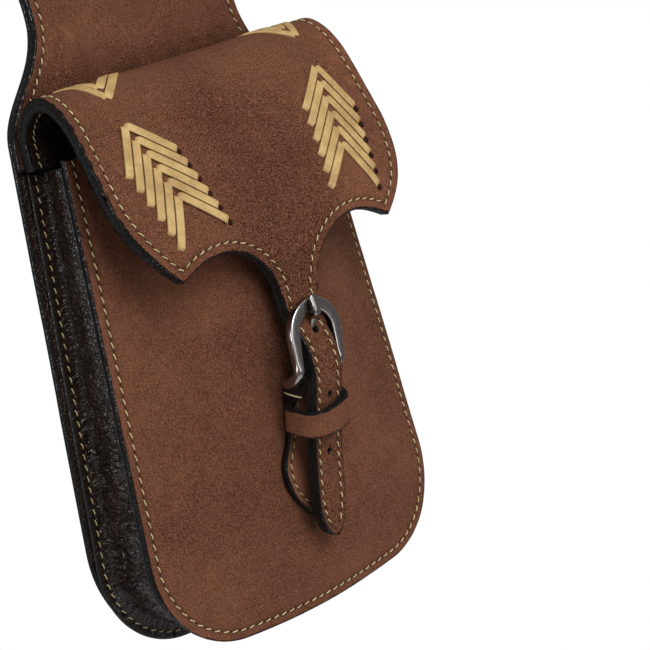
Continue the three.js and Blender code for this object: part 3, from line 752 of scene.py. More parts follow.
def stitch_mesh(centre, forward, normal, length, thread, slant=STITCH_SLANT):
    """Arched stitches: a ring of points carried along each one.

    With w from -1 to 1 along a stitch, it leans aside in proportion to w, rises in the middle and
    dips under at the ends with the fourth power of w, and thins with the eighth.
    """
    w = np.linspace(-1, 1, STITCH_RINGS)
    angle = np.arange(STITCH_SIDES) * 2 * math.pi / STITCH_SIDES
    aside = np.cross(normal, forward)
    along_it = forward[:, None] * (w * length / 2)[None, :, None]
    leaning = aside[:, None] * (w * slant * thread)[None, :, None]
    rising = normal[:, None] * (thread * (STITCH_RISE - STITCH_DIP * w ** 4))[None, :, None]
    line = centre[:, None] + along_it + leaning + rising
    radius = thread / 2 * np.sqrt(1 - STITCH_THINNING * w ** 8)
    ring = aside[:, None, :] * np.cos(angle)[:, None] + normal[:, None, :] * np.sin(angle)[:, None]
    return capped_tubes(line[:, :, None] + ring[:, None] * radius[None, :, None, None])


def sew(name, seams, flat, outer, normals, sizes, material, step=1e-3):
    """One piece of thread stitched along seams drawn on a sheet's flat coordinates."""
    spots, ways = [], []
    for seam in seams:
        length = run_of(seam)[-1]
        share = (np.arange(int(length / sizes.pitch)) + 0.5) * sizes.pitch / length
        spots.append(along(seam, share))
        ways.append(unit(along(seam, share + step) - along(seam, share - step)))
    frames = frames_on(flat, outer, normals, np.concatenate(spots), np.concatenate(ways))
    points, quads, caps = stitch_mesh(*frames, sizes.stitch, sizes.thread)
    settle(make_piece(name, points, quads, material, caps=caps), "lace")


def inset_line(line, inset, side=-1):
    """A line moved aside by an inset, to its left or right, with the loops at corners left out.

    A moved point that lies nearer to the line than its inset belongs to such a loop.
    """
    dense = evenly(line, DENSE_STEP)
    inset = np.broadcast_to(inset(dense) if callable(inset) else inset, (len(dense),))
    moved = dense + side * rightward(heading(dense)) * inset[:, None]
    gap = np.linalg.norm(moved - dense[nearest(moved, dense)], axis=1)
    return evenly(moved[gap > inset - LOOP_SLACK], SEAM_STEP)


# Pocket

def half_outline(pocket, inset=0.0):
    """Right half of a pocket's outline: its foot to the middle of the corner, and on up its side.

    The foot is an arc of a wide circle, the corner an arc that touches it, and the side leaves the
    corner in a straight line at the lean.
    """
    corner = pocket.corner - inset
    bottom = pocket.bottom - inset
    low = pocket.foot + inset
    reach = pocket.half - inset - corner
    swing = math.asin(reach / (bottom - corner))
    centre = (reach, low + bottom - (bottom - corner) * math.cos(swing))
    turn = swing - math.pi / 2
    middle = (turn + pocket.lean) / 2
    foot = arc((0, low + bottom), bottom, -math.pi / 2, turn)
    base = np.concatenate([foot, arc(centre, corner, turn, middle)[1:]])
    side = arc(centre, corner, middle, pocket.lean)
    rise = pocket.top - side[-1, 1]
    top = (side[-1, 0] - rise * math.tan(pocket.lean), pocket.top)
    return base, np.concatenate([side, [top]])


def pocket_line(pocket, inset=0.0):
    """Whole outline of a pocket, from its left top round the foot to its right top."""
    base, side = half_outline(pocket, inset)
    right = np.concatenate([base, side[1:]])
    return np.concatenate([right[:0:-1] * MIRROR, right])


def seam_depth(across, height):
    """Way out of the front seam: a taper upwards, and a bow along the foot that fades with height."""
    bow = np.maximum(1 - (across / (FRONT.half - FRONT_SEAM)) ** 2, 0)
    fade = np.maximum(1 - height / BOW_HEIGHT, 0)
    return SEAM_DEPTH - DEPTH_TAPER * height + FOOT_BOW * bow * fade


def front_spot(a, b):
    """Coons patch of the front panel's outline, by shares across and up: the blend of its sides plus
    the blend of its foot and top, less the blend of its corners."""
    base, side = half_outline(FRONT)
    right = along(side, b)
    turned = np.stack([2 * a - 1, np.ones_like(a)], axis=-1)
    low = along(base, np.abs(2 * a - 1)) * np.sign(turned)
    high = turned * side[-1]
    up = b[..., None]
    return right * turned + (1 - up) * low + up * high - ((1 - up) * base[-1] + up * side[-1]) * turned


def front_face(a, b):
    """Flat spot and way out of the front panel: the seam's depth less the rim's drop, plus a swell that
    follows the fullness up the panel and a soft dome across it."""
    flat = front_spot(a, b)
    rest = 1 - (2 * a - 1) ** 2
    swell = smooth(FULLNESS, b) * (0.5 * rest + 0.5 * rest * rest)
    return flat, seam_depth(flat[..., 0], flat[..., 1]) - RIM_DROP + swell


def panel_out(height):
    """Way out of the front panel on its centre line."""
    share = (np.asarray(height, float) - FRONT.foot) / (FRONT.top - FRONT.foot)
    return front_face(np.full_like(share, 0.5), share)[1]


def front_sheet(sizes):
    """The front panel's outer face as a grid, fine beside its edges, with its seam."""
    columns = close_at_ends(2 * FRONT.half, EDGE_BAND, sizes.cell, sizes.fine_cell)
    rows = close_at_ends(FRONT.top - FRONT.foot, EDGE_BAND, sizes.cell, sizes.fine_cell)
    a, b = (grid.ravel() for grid in np.meshgrid(columns, rows))
    flat, out = front_face(a, b)
    quads = grid_quads(len(rows), len(columns))
    seam = evenly(pocket_line(FRONT, FRONT_SEAM), SEAM_STEP)
    return flat, place(flat[:, 0], flat[:, 1], out), quads, [seam]


def gusset_sheet(sizes):
    """The gusset's outer face: its section carried round the seam.

    The near line is the front seam and the far line the back one. Each point lies between them by
    its share of the depth, moved out along the lines' outward direction. Wrinkles are noise drawn
    out across the web, strongest round the lower corners.
    """
    near, far = (
        along(pocket_line(FRONT._replace(foot=foot, top=MOUTH), FRONT_SEAM),
              np.linspace(0, 1, GUSSET_ROWS))
        for foot in (FRONT.foot, BACK.foot))
    section = np.linspace(0, 1, GUSSET_COLUMNS)
    way_out = smooth(CHANNEL[:, [0, 1]], section)
    deep = np.clip(smooth(CHANNEL[:, [0, 2]], section), 0, 1)
    line = far[:, None] + (near - far)[:, None] * deep[None, :, None]
    outward = unit(rightward(heading(far))[:, None] + rightward(heading(near) - heading(far))[:, None]
                   * deep[None, :, None])
    run = run_of(near)
    web = np.sin(math.pi * np.clip((section - WEB_START) / WEB_SHARE, 0, 1))
    web = np.clip(web, 0, 1) ** WEB_POWER
    lower = np.exp(-((near[:, 1] - CORNER_HEIGHT) / CORNER_SPREAD) ** 2)[:, None]
    folded = np.stack(np.broadcast_arrays(
        run[:, None] + WRINKLE_BEND * (section - 0.5) ** 2, WRINKLE_DRAW * section[None], 0.0),
        axis=-1).reshape(-1, 3)
    fine = soft_noise(folded, FINE_WRINKLE, FINE_SEED).reshape(len(run), -1)
    broad = soft_noise(folded * (1, BROAD_DRAW, 1), BROAD_WRINKLE, BROAD_SEED).reshape(len(run), -1)
    wrinkle = (FINE_EVERYWHERE + FINE_AT_CORNERS * lower) * fine + BROAD_AT_CORNERS * lower * broad
    spot = line + outward * (way_out[None] + wrinkle * web[None])[..., None]
    front = seam_depth(near[:, 0], near[:, 1]) - RIM_DROP - sizes.panel - sizes.gap - sizes.gusset
    back = BACK_FACE + sizes.gap + sizes.gusset
    out = back + (front - back)[:, None] * deep[None]
    points = place(spot[..., 0], spot[..., 1], out)
    round_it = run_of(np.stack([way_out, deep * GUSSET_FLAT_DEPTH], axis=1))
    flat = np.stack(np.broadcast_arrays(run[:, None], round_it[None]), axis=-1)
    seam_row = np.argmin(np.abs(way_out) + deep)
    quads = grid_quads(len(run), len(section))[:, ::-1]
    return flat.reshape(-1, 2), points.reshape(-1, 3), quads, [flat[:, seam_row]]


# Back and yoke

def yoke_low(side):
    """Edge of the yoke from its shoulder to the waist: a cubic curve, upright at both ends."""
    waist = side * WAIST + WAIST_DRIFT
    return bezier((side * SHOULDER, BACK.top), (side * SHOULDER, WAIST_HEIGHT - SHOULDER_HANDLE),
                  (waist, WAIST_HEIGHT - WAIST_HANDLE), (waist, WAIST_HEIGHT))


def yoke_high(side):
    """Edge of the yoke from its waist to the round end: a cubic curve that touches the circle."""
    meet = np.array([side * RING * math.cos(RING_TURN), HORN_HEIGHT + RING * math.sin(RING_TURN)])
    knee = meet + RING_PULL * np.array([side * math.sin(RING_TURN), -math.cos(RING_TURN)])
    waist = side * WAIST + WAIST_DRIFT
    return bezier((waist, WAIST_HEIGHT), (waist, WAIST_HEIGHT + WAIST_RISE), knee, meet)


def yoke_line():
    """Outline of the yoke above its waist, from the right over the round end to the left."""
    ring = arc((0, HORN_HEIGHT), RING, RING_TURN, math.pi - RING_TURN, steps=300)
    return np.concatenate([yoke_high(1), ring[1:-1], yoke_high(-1)[::-1]])


def plate_sheet(base, right, left, out, cell):
    """A flat plate with the horn hole, its closed outline, and quads that face the front.

    Below the waist a patch blends the left and right side by the share across, and the base's bow
    fades with the share up. Above it straight lines run from the waist and the yoke's outline to
    the hole's edge, in shares of their length. Both share the points of the waist.
    """
    columns = close_at_ends(2 * BACK.half, PLATE_BAND, cell, PLATE_FINE)
    rows = close_at_ends(run_of(right)[-1], PLATE_BAND, cell, PLATE_FINE)
    a, b = columns[:, None], rows[:, None, None]
    sides = along(left, rows)[:, None] * (1 - a) + along(right, rows)[:, None] * a
    lower = sides + (1 - b) * (along(base, columns) - (1 - a) * base[0] - a * base[-1])
    edge = evenly(yoke_line(), cell)[1:-1]
    loop = np.concatenate([lower[-1], edge])
    centre = np.array([0, HORN_HEIGHT])
    share = close_at_ends(HOLE_WAY, PLATE_BAND, cell, HOLE_FINE)[1:, None, None]
    inner = loop + (centre + HOLE * unit(loop - centre) - loop) * share
    flat = np.concatenate([lower.reshape(-1, 2), edge, inner.reshape(-1, 2)])
    last_row = (len(rows) - 1) * len(columns) + np.arange(len(columns) + len(edge))
    beyond = len(rows) * len(columns) + len(edge) + np.arange(len(share) * len(loop))
    index = np.concatenate([last_row[None], beyond.reshape(len(share), -1)])
    quads = np.concatenate([
        grid_quads(len(rows), len(columns)), index.ravel()[grid_quads(*index.shape, closed=True)]])
    outline = np.concatenate([base, right[1:], yoke_line()[1:-1], left[:0:-1]])
    return flat, place(flat[:, 0], flat[:, 1], np.full(len(flat), out)), quads, outline


def back_sheet(sizes):
    """The back's rear face: the pocket's foot and sides, then the yoke."""
    base, side = half_outline(BACK)
    base = np.concatenate([base[:0:-1] * MIRROR, base])
    right = np.concatenate([side[:-1], yoke_low(1)])
    left = np.concatenate([side[:-1] * MIRROR, yoke_low(-1)])
    flat, points, quads, outline = plate_sheet(base, right, left, BACK_FACE - sizes.hide, BACK_CELL)
    return flat, points, quads[:, ::-1], yoke_seams(outline)


def facing_sheet(sizes):
    """The yoke facing's front, from a straight low edge behind the flap up to the round end."""
    side = half_outline(BACK)[1]
    half = SHOULDER + (side[-2, 0] - SHOULDER) * (BACK.top - FACING_FOOT) / (BACK.top - side[-2, 1])
    base = np.array([(-half, FACING_FOOT), (half, FACING_FOOT)])
    right = np.concatenate([base[1:], yoke_low(1)])
    left = np.concatenate([base[:1], yoke_low(-1)])
    flat, points, quads, outline = plate_sheet(base, right, left, FACING_FACE, sizes.cell)
    return flat, points, quads, yoke_seams(outline[1:])


def yoke_painted_shade(flat):
    """Painted shade on the yoke's nap: darker low down, where the flap shades it, by a smoothstep of the
    height.
    """
    return YOKE_FOOT_SHADE * (1 - ease(flat[:, 1], *YOKE_SHADE_BAND))


def yoke_seams(outline):
    """Seams inside a closed outline and round the horn hole."""
    ring = arc((0, HORN_HEIGHT), HOLE + YOKE_SEAM, -math.pi, math.pi, steps=400)
    return [inset_line(outline, YOKE_SEAM), ring]


# Flap and strap

def rounded_course(points, steps=40):
    """Centripetal Catmull-Rom curve: on each span a Hermite curve whose end slopes are weighted by the
    square roots of the neighbouring chords."""
    ends = np.concatenate([2 * points[:1] - points[1:2], points, 2 * points[-1:] - points[-2:-1]])
    p0, p1, p2, p3 = ends[:-3], ends[1:-2], ends[2:-1], ends[3:]
    d0, d1, d2 = (np.sqrt(np.linalg.norm(q - p, axis=1, keepdims=True))
                  for p, q in ((p0, p1), (p1, p2), (p2, p3)))
    m1 = d1 * ((p1 - p0) / d0 - (p2 - p0) / (d0 + d1) + (p2 - p1) / d1)
    m2 = d1 * ((p2 - p1) / d1 - (p3 - p1) / (d1 + d2) + (p3 - p2) / d2)
    t = np.linspace(0, 1, steps, endpoint=False)[:, None]
    p1, p2, m1, m2 = (each[:, None] for each in (p1, p2, m1, m2))
    rise = t * t * (3 - 2 * t)
    curve = (1 - rise) * p1 + rise * p2 + t * (1 - t) * ((1 - t) * m1 - t * m2)
    return np.concatenate([curve.reshape(-1, points.shape[1]), points[-1:]])


FLAP_LINE = rounded_course(COURSE)
FLAP_WAY = heading(FLAP_LINE)
FLAP_DOWN = run_of(FLAP_LINE) - run_of(FLAP_LINE)[FLAP_LINE[:, 0].argmax()]
FLAP_REAR = FLAP_DOWN[0]
STRAP_END = FLAP_DOWN[-1]


def on_flap(across, down, depth=0.0):
    """Points on the flap: the course read by the way down from the fold, raised across by the slouch
    and sunk along its inward normal by a depth."""
    height, out = (np.interp(down, FLAP_DOWN, column) for column in FLAP_LINE.T)
    up_way, out_way = (np.interp(down, FLAP_DOWN, column) for column in FLAP_WAY.T)
    rise = smooth(SLOUCH, down) * across
    drift = SEWN_ASIDE[0] * ease(down, STRAP_DRIFT_START, PRONG_HOLE[1])
    return place(across + drift, height + rise - out_way * depth, out + up_way * depth)


LOBE = bezier((FLAP_HALF, FLAP_FULL), (FLAP_HALF, LOBE_SIDE_HANDLE), LOBE_OUTER_HANDLE, LOBE_TIP)
FOOT = np.concatenate([
    bezier(TONGUE, TONGUE_HANDLE, (SCALLOP_HANDLES[0], SCALLOP_TOP[1]), SCALLOP_TOP),
    bezier(SCALLOP_TOP, (SCALLOP_HANDLES[1], SCALLOP_TOP[1]), LOBE_INNER_HANDLE, LOBE_TIP)[1:],
])


def strap_half(down):
    """Half width of the strap: easing in from the tongue, then closing to a rounded point."""
    width = TONGUE[0] + (STRAP_HALF - TONGUE[0]) * ease(down, TONGUE[1], STRAP_START)
    closing = np.clip((down - STRAP_END + STRAP_POINT) / STRAP_POINT, 0, 1)
    return np.maximum(width * np.sqrt(1 - closing ** STRAP_TAPER), STRAP_BLUNT)


def flap_edge():
    """Flat outline of the flap's right half, from its rear corner to the strap's point."""
    strap = np.linspace(TONGUE[1], STRAP_END, 240)
    return np.concatenate([
        [(FLAP_REAR_HALF, FLAP_REAR)], LOBE, FOOT[::-1][1:],
        np.stack([strap_half(strap), strap], axis=1)[1:]])


def flap_seam():
    """Seam of the flap and strap, inside the outline by an inset that narrows on the strap."""
    def inset(line):
        return FLAP_SEAM + (STRAP_SEAM - FLAP_SEAM) * ease(line[:, 1], *SEAM_NARROWS)

    right = inset_line(flap_edge(), inset)
    right = right[right[:, 0] > SEAM_STEP]
    return [right, right * MIRROR]


def flap_sheet(sizes):
    """Flat grid of the flap and strap.

    Columns run down from the rear edge to the scalloped foot, their rows in equal shares of that
    way, and widen with the flap. The middle columns go on as the strap.
    """
    strip = spread(0, TONGUE[0], STRIP_CELL)
    neck = spread(TONGUE[0], NECK_END, NECK_CELL)[1:]
    middle = spread(NECK_END, LOBE_TIP[0], sizes.cell)[1:]
    lobe = LOBE_TIP[0] + (FLAP_HALF - LOBE_TIP[0]) * np.sin(np.linspace(0, math.pi / 2, LOBE_COLUMNS))[1:]
    half = np.concatenate([strip, neck, middle, lobe])
    columns = np.concatenate([-half[:0:-1], half])
    low_line = np.concatenate([FOOT, LOBE[::-1][1:]])
    low = np.interp(np.abs(columns), *low_line.T)
    share = close_at_ends(TONGUE[1] - FLAP_REAR, EDGE_BAND, sizes.cell, sizes.fine_cell)
    down = FLAP_REAR + share[:, None] * (low - FLAP_REAR)
    widening = np.clip((down - FLAP_REAR) / (FLAP_FULL - FLAP_REAR), 0, 1)
    half_here = FLAP_REAR_HALF + (FLAP_HALF - FLAP_REAR_HALF) * widening
    beyond = np.maximum(np.abs(columns) - TONGUE[0], 0) * (half_here - TONGUE[0]) / (FLAP_HALF - TONGUE[0])
    across = np.sign(columns) * (np.minimum(np.abs(columns), TONGUE[0]) + beyond)
    kept = np.flatnonzero(np.abs(columns) <= TONGUE[0])
    closing = STRAP_END - STRAP_POINT * (1 - np.sin(np.linspace(0, math.pi / 2, POINT_ROWS)))
    rows = np.concatenate([spread(TONGUE[1], STRAP_END - STRAP_POINT, sizes.fine_cell)[1:], closing[1:]])
    strap = np.stack(np.broadcast_arrays(
        columns[kept] / TONGUE[0] * strap_half(rows)[:, None], rows[:, None]), axis=-1)
    flat = np.concatenate([np.stack([across, down], axis=-1).reshape(-1, 2), strap.reshape(-1, 2)])
    index = across.size + np.arange(strap.shape[0] * strap.shape[1]).reshape(strap.shape[:2])
    index = np.concatenate([[(len(share) - 1) * len(columns) + kept], index])
    hanging = np.stack([index[:-1, :-1], index[:-1, 1:], index[1:, 1:], index[1:, :-1]], axis=-1)
    quads = np.concatenate([grid_quads(len(share), len(columns)), hanging.reshape(-1, 4)])
    return punched(flat, quads[:, ::-1])


def punched(flat, quads):
    """A flat grid with the strap's holes cut: cells inside an oval go, and the points round the cut
    move straight out from its centre onto the oval."""
    flat = flat.copy()
    for across, down, half, long in STRAP_HOLES:
        local = (flat - (across, down)) / (half, long)
        inside = np.linalg.norm(local[quads].mean(axis=1), axis=1) < 1
        round_it = np.intersect1d(quads[inside], quads[~inside])
        quads = quads[~inside]
        flat[round_it] = (across, down) + unit(local[round_it]) * (half, long)
    used, quads = only_used(quads)
    return flat[used], quads


def flap_wear_and_light(flat):
    """Wear of the flap's nap, paler at the sides and in rubbed patches and darker down the middle, and a
    paler band by the fold that is partly wear and partly painted light from above, by smoothsteps and bell
    curves of the flat coordinates."""
    half, down = np.abs(flat[:, 0]), flat[:, 1]
    middle = np.exp(-(half / MIDDLE_SPREAD) ** 2) * ease(down, *MIDDLE_BAND)
    middle = middle * (1 - STRAP_EASING * ease(down, *STRAP_BAND))
    wear_and_painted_light = SIDE_RUB * ease(half, *SIDE_BAND) + MIDDLE_RUB * middle
    wear_and_painted_light = wear_and_painted_light + FOLD_WEAR_AND_LIGHT * (1 - ease(down, *FOLD_BAND))
    for across, below, wide, tall in RUBBED:
        offset = (flat - (across, below)) / (wide, tall)
        wear_and_painted_light = wear_and_painted_light + PATCH_RUB * np.exp(-(offset ** 2).sum(axis=1))
    return wear_and_painted_light


# Sweeps

def sweep(line, aside, half_width, half_thick, corner, steps=3):
    """A rounded oblong carried along a line.

    Each ring has four quarter circles round the corners of the oblong. Its width lies along the
    given direction and its thickness square to that and to the line.
    """
    way = heading(line)
    aside = unit(aside - way * (aside * way).sum(axis=1, keepdims=True))
    facing = np.cross(way, aside)
    angle = (np.arange(4)[:, None] * math.pi / 2 + np.linspace(0, math.pi / 2, steps + 1)).ravel()
    corners = np.repeat(np.array([(1, 1), (-1, 1), (-1, -1), (1, -1)]), steps + 1, axis=0)
    half_width, half_thick, corner = (
        np.broadcast_to(each, (len(line),))[:, None] for each in (half_width, half_thick, corner))
    x = corners[:, 0] * (half_width - corner) + corner * np.cos(angle)
    y = corners[:, 1] * (half_thick - corner) + corner * np.sin(angle)
    points = line[:, None] + aside[:, None] * x[..., None] + facing[:, None] * y[..., None]
    worn = np.broadcast_to(np.abs(np.sin(2 * angle)), points.shape[:2])
    return *capped_tubes(points[None]), worn.ravel()


def join(parts):
    """Several swept parts as one set of points, quads, caps and marks."""
    first = np.cumsum([0] + [len(part[0]) for part in parts[:-1]])
    points, quads, caps, marks = zip(*parts)
    quads, caps = ([each + start for each, start in zip(group, first)] for group in (quads, caps))
    return tuple(np.concatenate(group) for group in (points, quads, caps, marks))


def turned_out(points, quads, caps):
    """Quads and caps turned together so that the closed shape faces outwards."""
    if np.array_equal(outwards(points, quads), quads):
        return quads, caps
    return quads[:, ::-1], caps[:, ::-1]


def lace_arm(start, end, layer, sizes):
    """One flat lace on the flap between two flat spots, its ends dipping into their slots.

    With s the distance from the nearer end, the lace sinks by a bell curve of s, and its width
    closes with a quarter circle of s over its taper.
    """
    share = (1 - np.cos(np.linspace(0, math.pi, ARM_STEPS))) / 2
    line = start + (end - start) * share[:, None]
    run = run_of(line)
    near_end = np.minimum(run, run[-1] - run)
    sunk = ARM_DIP * sizes.lace_thick * np.exp(-(near_end / ARM_DIP_REACH) ** 2)
    lift = sizes.lace_thick * (0.5 + layer) - sunk
    cross = rightward(heading(line)) * 0.1 * MM
    middle = on_flap(line[:, 0], line[:, 1], -lift)
    aside = on_flap(*(line + cross).T, -lift) - on_flap(*(line - cross).T, -lift)
    taper = np.clip(near_end / ARM_TAPER, 0, 1)
    half = sizes.lace_width / 2 * (ARM_BLUNT + (1 - ARM_BLUNT) * np.sqrt(1 - (1 - taper) ** 2))
    return sweep(middle, aside, half, sizes.lace_thick / 2, ARM_CORNER)


def chevron_ends(chevron, sign):
    """Point of a chevron and the far ends of its inner and outer arm, on the flap's flat."""
    point = np.array([chevron.across, chevron.down])
    flip = np.array([1, chevron.turn])
    ends = (point, point + flip * INNER_ARM, point + flip * OUTER_ARM)
    return [end * (sign, 1) for end in ends]


def buckle_half():
    """Right half of the buckle's line, from the end of its foot up to the crown, with its width's
    direction and its half widths and thicknesses."""
    middle = (BUCKLE_HALF + BUCKLE_INNER) / 2
    front = BUCKLE_BACK + BUCKLE_THICK / 2
    foot = rounded_course(np.array([
        (LEG_MIDDLE, BAR_HEIGHT + 0.5 * MM, BAR_OUT - 0.4 * MM),
        (LEG_MIDDLE, BAR_HEIGHT + 1.2 * MM, BAR_OUT + 2.8 * MM),
        (LEG_MIDDLE, BUCKLE_FOOT - 3.0 * MM, front - 1.4 * MM),
        (LEG_MIDDLE, BUCKLE_FOOT - 1.0 * MM, front - 0.1 * MM),
        (LEG_MIDDLE - 0.1 * MM, BUCKLE_FOOT + 2 * MM, front),
        (middle + 0.1 * MM, BUCKLE_SPRING - 3 * MM, front),
    ]), steps=9)
    crown = arc((0, BUCKLE_SPRING), middle, 0, math.pi / 2, steps=34)
    crown = np.column_stack([crown, np.full(len(crown), front)])
    line = np.concatenate([foot, crown])
    angle = np.clip(np.arctan2(line[:, 1] - BUCKLE_SPRING, line[:, 0]), 0, math.pi / 2)
    way = np.stack([np.cos(angle), np.sin(angle), np.zeros(len(line))], axis=1)
    flatness = ease(line[:, 1], BUCKLE_FOOT - 2 * MM, BUCKLE_FOOT + 3 * MM)
    widening = ease(line[:, 1], BUCKLE_FOOT, BUCKLE_SPRING)
    half = LEG_HALF_WIDTH + ((BUCKLE_HALF - BUCKLE_INNER) / 2 - LEG_HALF_WIDTH) * widening
    return line, way, FOOT_RADIUS + (half - FOOT_RADIUS) * flatness, flatness


def buckle_frame_parts():
    """The horseshoe with its feet, mirrored about its crown, and the bar between the feet."""
    line, way, half, flatness = buckle_half()
    flip = np.array([-1, 1, 1])
    drawn_in = LEG_DRAWN_IN * (1 - ease(line[:, 1], BUCKLE_FOOT - 4 * MM, BUCKLE_SPRING))
    right = line - drawn_in[:, None] * (1, 0, 0)
    line = np.concatenate([right, line[-2::-1] * flip])
    way = np.concatenate([way, way[-2::-1] * flip])
    half, flatness = (np.concatenate([each, each[-2::-1]]) for each in (half, flatness))
    thick = FOOT_RADIUS + (BUCKLE_THICK / 2 - FOOT_RADIUS) * flatness
    round_foot = FOOT_RADIUS * FOOT_ROUNDNESS
    corner = round_foot + (BUCKLE_CORNER - round_foot) * flatness
    corner = np.minimum(corner, np.minimum(half, thick) * ROUND_SHARE)
    aside = np.column_stack([way[:, 0], -way[:, 2], way[:, 1]])
    points, quads, caps, worn = sweep(place(*line.T), aside, half, thick, corner, METAL_STEPS)
    worn = worn * np.repeat(FOOT_WEAR + (1 - FOOT_WEAR) * flatness, len(worn) // len(line))
    bar = place(np.linspace(-BAR_REACH, BAR_REACH, 9), BAR_HEIGHT, BAR_OUT)
    upright = np.broadcast_to([0.0, 0.0, 1.0], bar.shape)
    across = sweep(bar, upright, BAR_RADIUS, BAR_RADIUS, BAR_RADIUS * ROUND_SHARE, METAL_STEPS)
    return [(points, quads, caps, worn), across]


def prong_parts(sizes):
    """The tongue from the bar through the strap's hole and over the crown, and its sleeve on the bar."""
    front = BUCKLE_BACK + BUCKLE_THICK + sizes.gap + PRONG_THICK / 2
    through = [on_flap(PRONG_HOLE[0], PRONG_HOLE[1] + way, depth) - SEWN_ASIDE for way, depth in (
        (PRONG_STEP, 2 * sizes.hide + PRONG_UNDER), (0.0, sizes.hide), (-PRONG_STEP, -PRONG_OVER))]
    course = np.array([
        place(0.0, BAR_HEIGHT + 1.5 * MM, BAR_OUT + BAR_RADIUS + sizes.gap + 0.9 * MM),
        place(0.0, BAR_HEIGHT + 9 * MM, BAR_OUT + 2.4 * MM),
        *through,
        place(0.0, BUCKLE_SPRING + BUCKLE_INNER - 1 * MM, front + 0.6 * MM),
        place(0.0, BUCKLE_SPRING + BUCKLE_HALF + 1.0 * MM, front),
    ])
    line = rounded_course(course, steps=8)
    aside = np.broadcast_to([1.0, 0.0, 0.0], line.shape)
    widening = ease(run_of(line) / run_of(line)[-1], *PRONG_WIDENS)
    half = PRONG_WIDTH / 2 * (PRONG_SLIM + (1 - PRONG_SLIM) * widening)
    tongue = sweep(line, aside, half, PRONG_THICK / 2, PRONG_CORNER)
    radius = BAR_RADIUS + sizes.gap + SLEEVE_CLEAR
    sleeve = place(0.0, BAR_HEIGHT + radius * np.sin(SLEEVE_TURN), BAR_OUT + radius * np.cos(SLEEVE_TURN))
    aside = np.broadcast_to([1.0, 0.0, 0.0], sleeve.shape)
    return [tongue, sweep(sleeve, aside, SLEEVE_HALF, SLEEVE_HALF_THICK, SLEEVE_CORNER)]


CHAPE_LEAF = np.concatenate([
    bezier((0, CHAPE_FOOT), CHAPE_FOOT_HANDLE, (CHAPE_WIDEST[0], CHAPE_WIDEST_HANDLES[0]), CHAPE_WIDEST),
    bezier(CHAPE_WIDEST, (CHAPE_WIDEST[0], CHAPE_WIDEST_HANDLES[1]),
           (CHAPE_WAIST[0], CHAPE_WAIST_HANDLE), CHAPE_WAIST)[1:],
])


def chape_sheet(sizes):
    """The chape's face with its thickness: a leaf up the panel, then round the bar, with the prong's slot.

    The course is the panel's own line raised by the thickness, which grows from the keeper to the
    neck, then an arc round the bar. The half width is read from the leaf's outline by the height.
    """
    heights = spread(CHAPE_FOOT, CHAPE_NECK, SMALL_CELL)
    wedge = np.clip((heights - WEDGE_FOOT) / (CHAPE_NECK - WEDGE_FOOT), 0, 1) ** WEDGE_POWER
    thick = CHAPE_THICK + WEDGE_RISE * wedge
    tab = np.stack([heights, panel_out(heights) + sizes.gap + thick], axis=1)
    neck = run_of(tab)[-1]
    loop = arc((BAR_HEIGHT, BAR_OUT), BAR_RADIUS + sizes.gap + sizes.hide, *CHAPE_LOOP, steps=40)
    course = evenly(np.concatenate([tab, loop]), CHAPE_STEP)
    run = run_of(course)
    half = np.maximum(np.interp(course[:, 0], CHAPE_LEAF[:, 1], CHAPE_LEAF[:, 0]), CHAPE_TIP)
    columns = np.linspace(-1, 1, CHAPE_COLUMNS)
    flat = np.stack(np.broadcast_arrays(half[:, None] * columns, run[:, None]), axis=-1).reshape(-1, 2)
    points = place(flat[:, 0], *np.repeat(course, CHAPE_COLUMNS, axis=0).T)
    quads = grid_quads(len(course), CHAPE_COLUMNS)
    middle = flat[quads].mean(axis=1)
    slot = (np.abs(middle[:, 0]) < CHAPE_SLOT) & (middle[:, 1] > neck + NECK_TO_SLOT)
    used, quads = only_used(quads[~slot])
    side = np.stack([half, run], axis=1)
    edge = np.concatenate([side[::-1], side[1:] * MIRROR])
    seam = inset_line(edge[edge[:, 1] < neck - SEAM_TO_NECK], CHAPE_SEAM, side=1)
    on_tab = 1 - ease(flat[:, 1], *(neck + NECK_THINS))
    depth = sizes.hide + (np.interp(flat[:, 1], run_of(tab), thick) - sizes.hide) * on_tab
    return (flat[used], points[used], quads, [seam]), depth[used]


def chape_tack(sizes):
    """The long stitch over the neck's left edge, with its heading and the way it faces."""
    ends = place(-CHAPE_WAIST[0] - sizes.gap, TACK_HEIGHTS, TACK_OUT)
    forward = unit(ends[1:] - ends[:1])
    facing = np.cross(forward, [[0.0, 0.0, 1.0]])
    facing = unit(facing) * np.sign(-facing[:, :1])
    return stitch_mesh(ends.mean(axis=0)[None], forward, facing, np.linalg.norm(ends[1] - ends[0]),
                       TACK_THREAD * sizes.thread, 0.0)


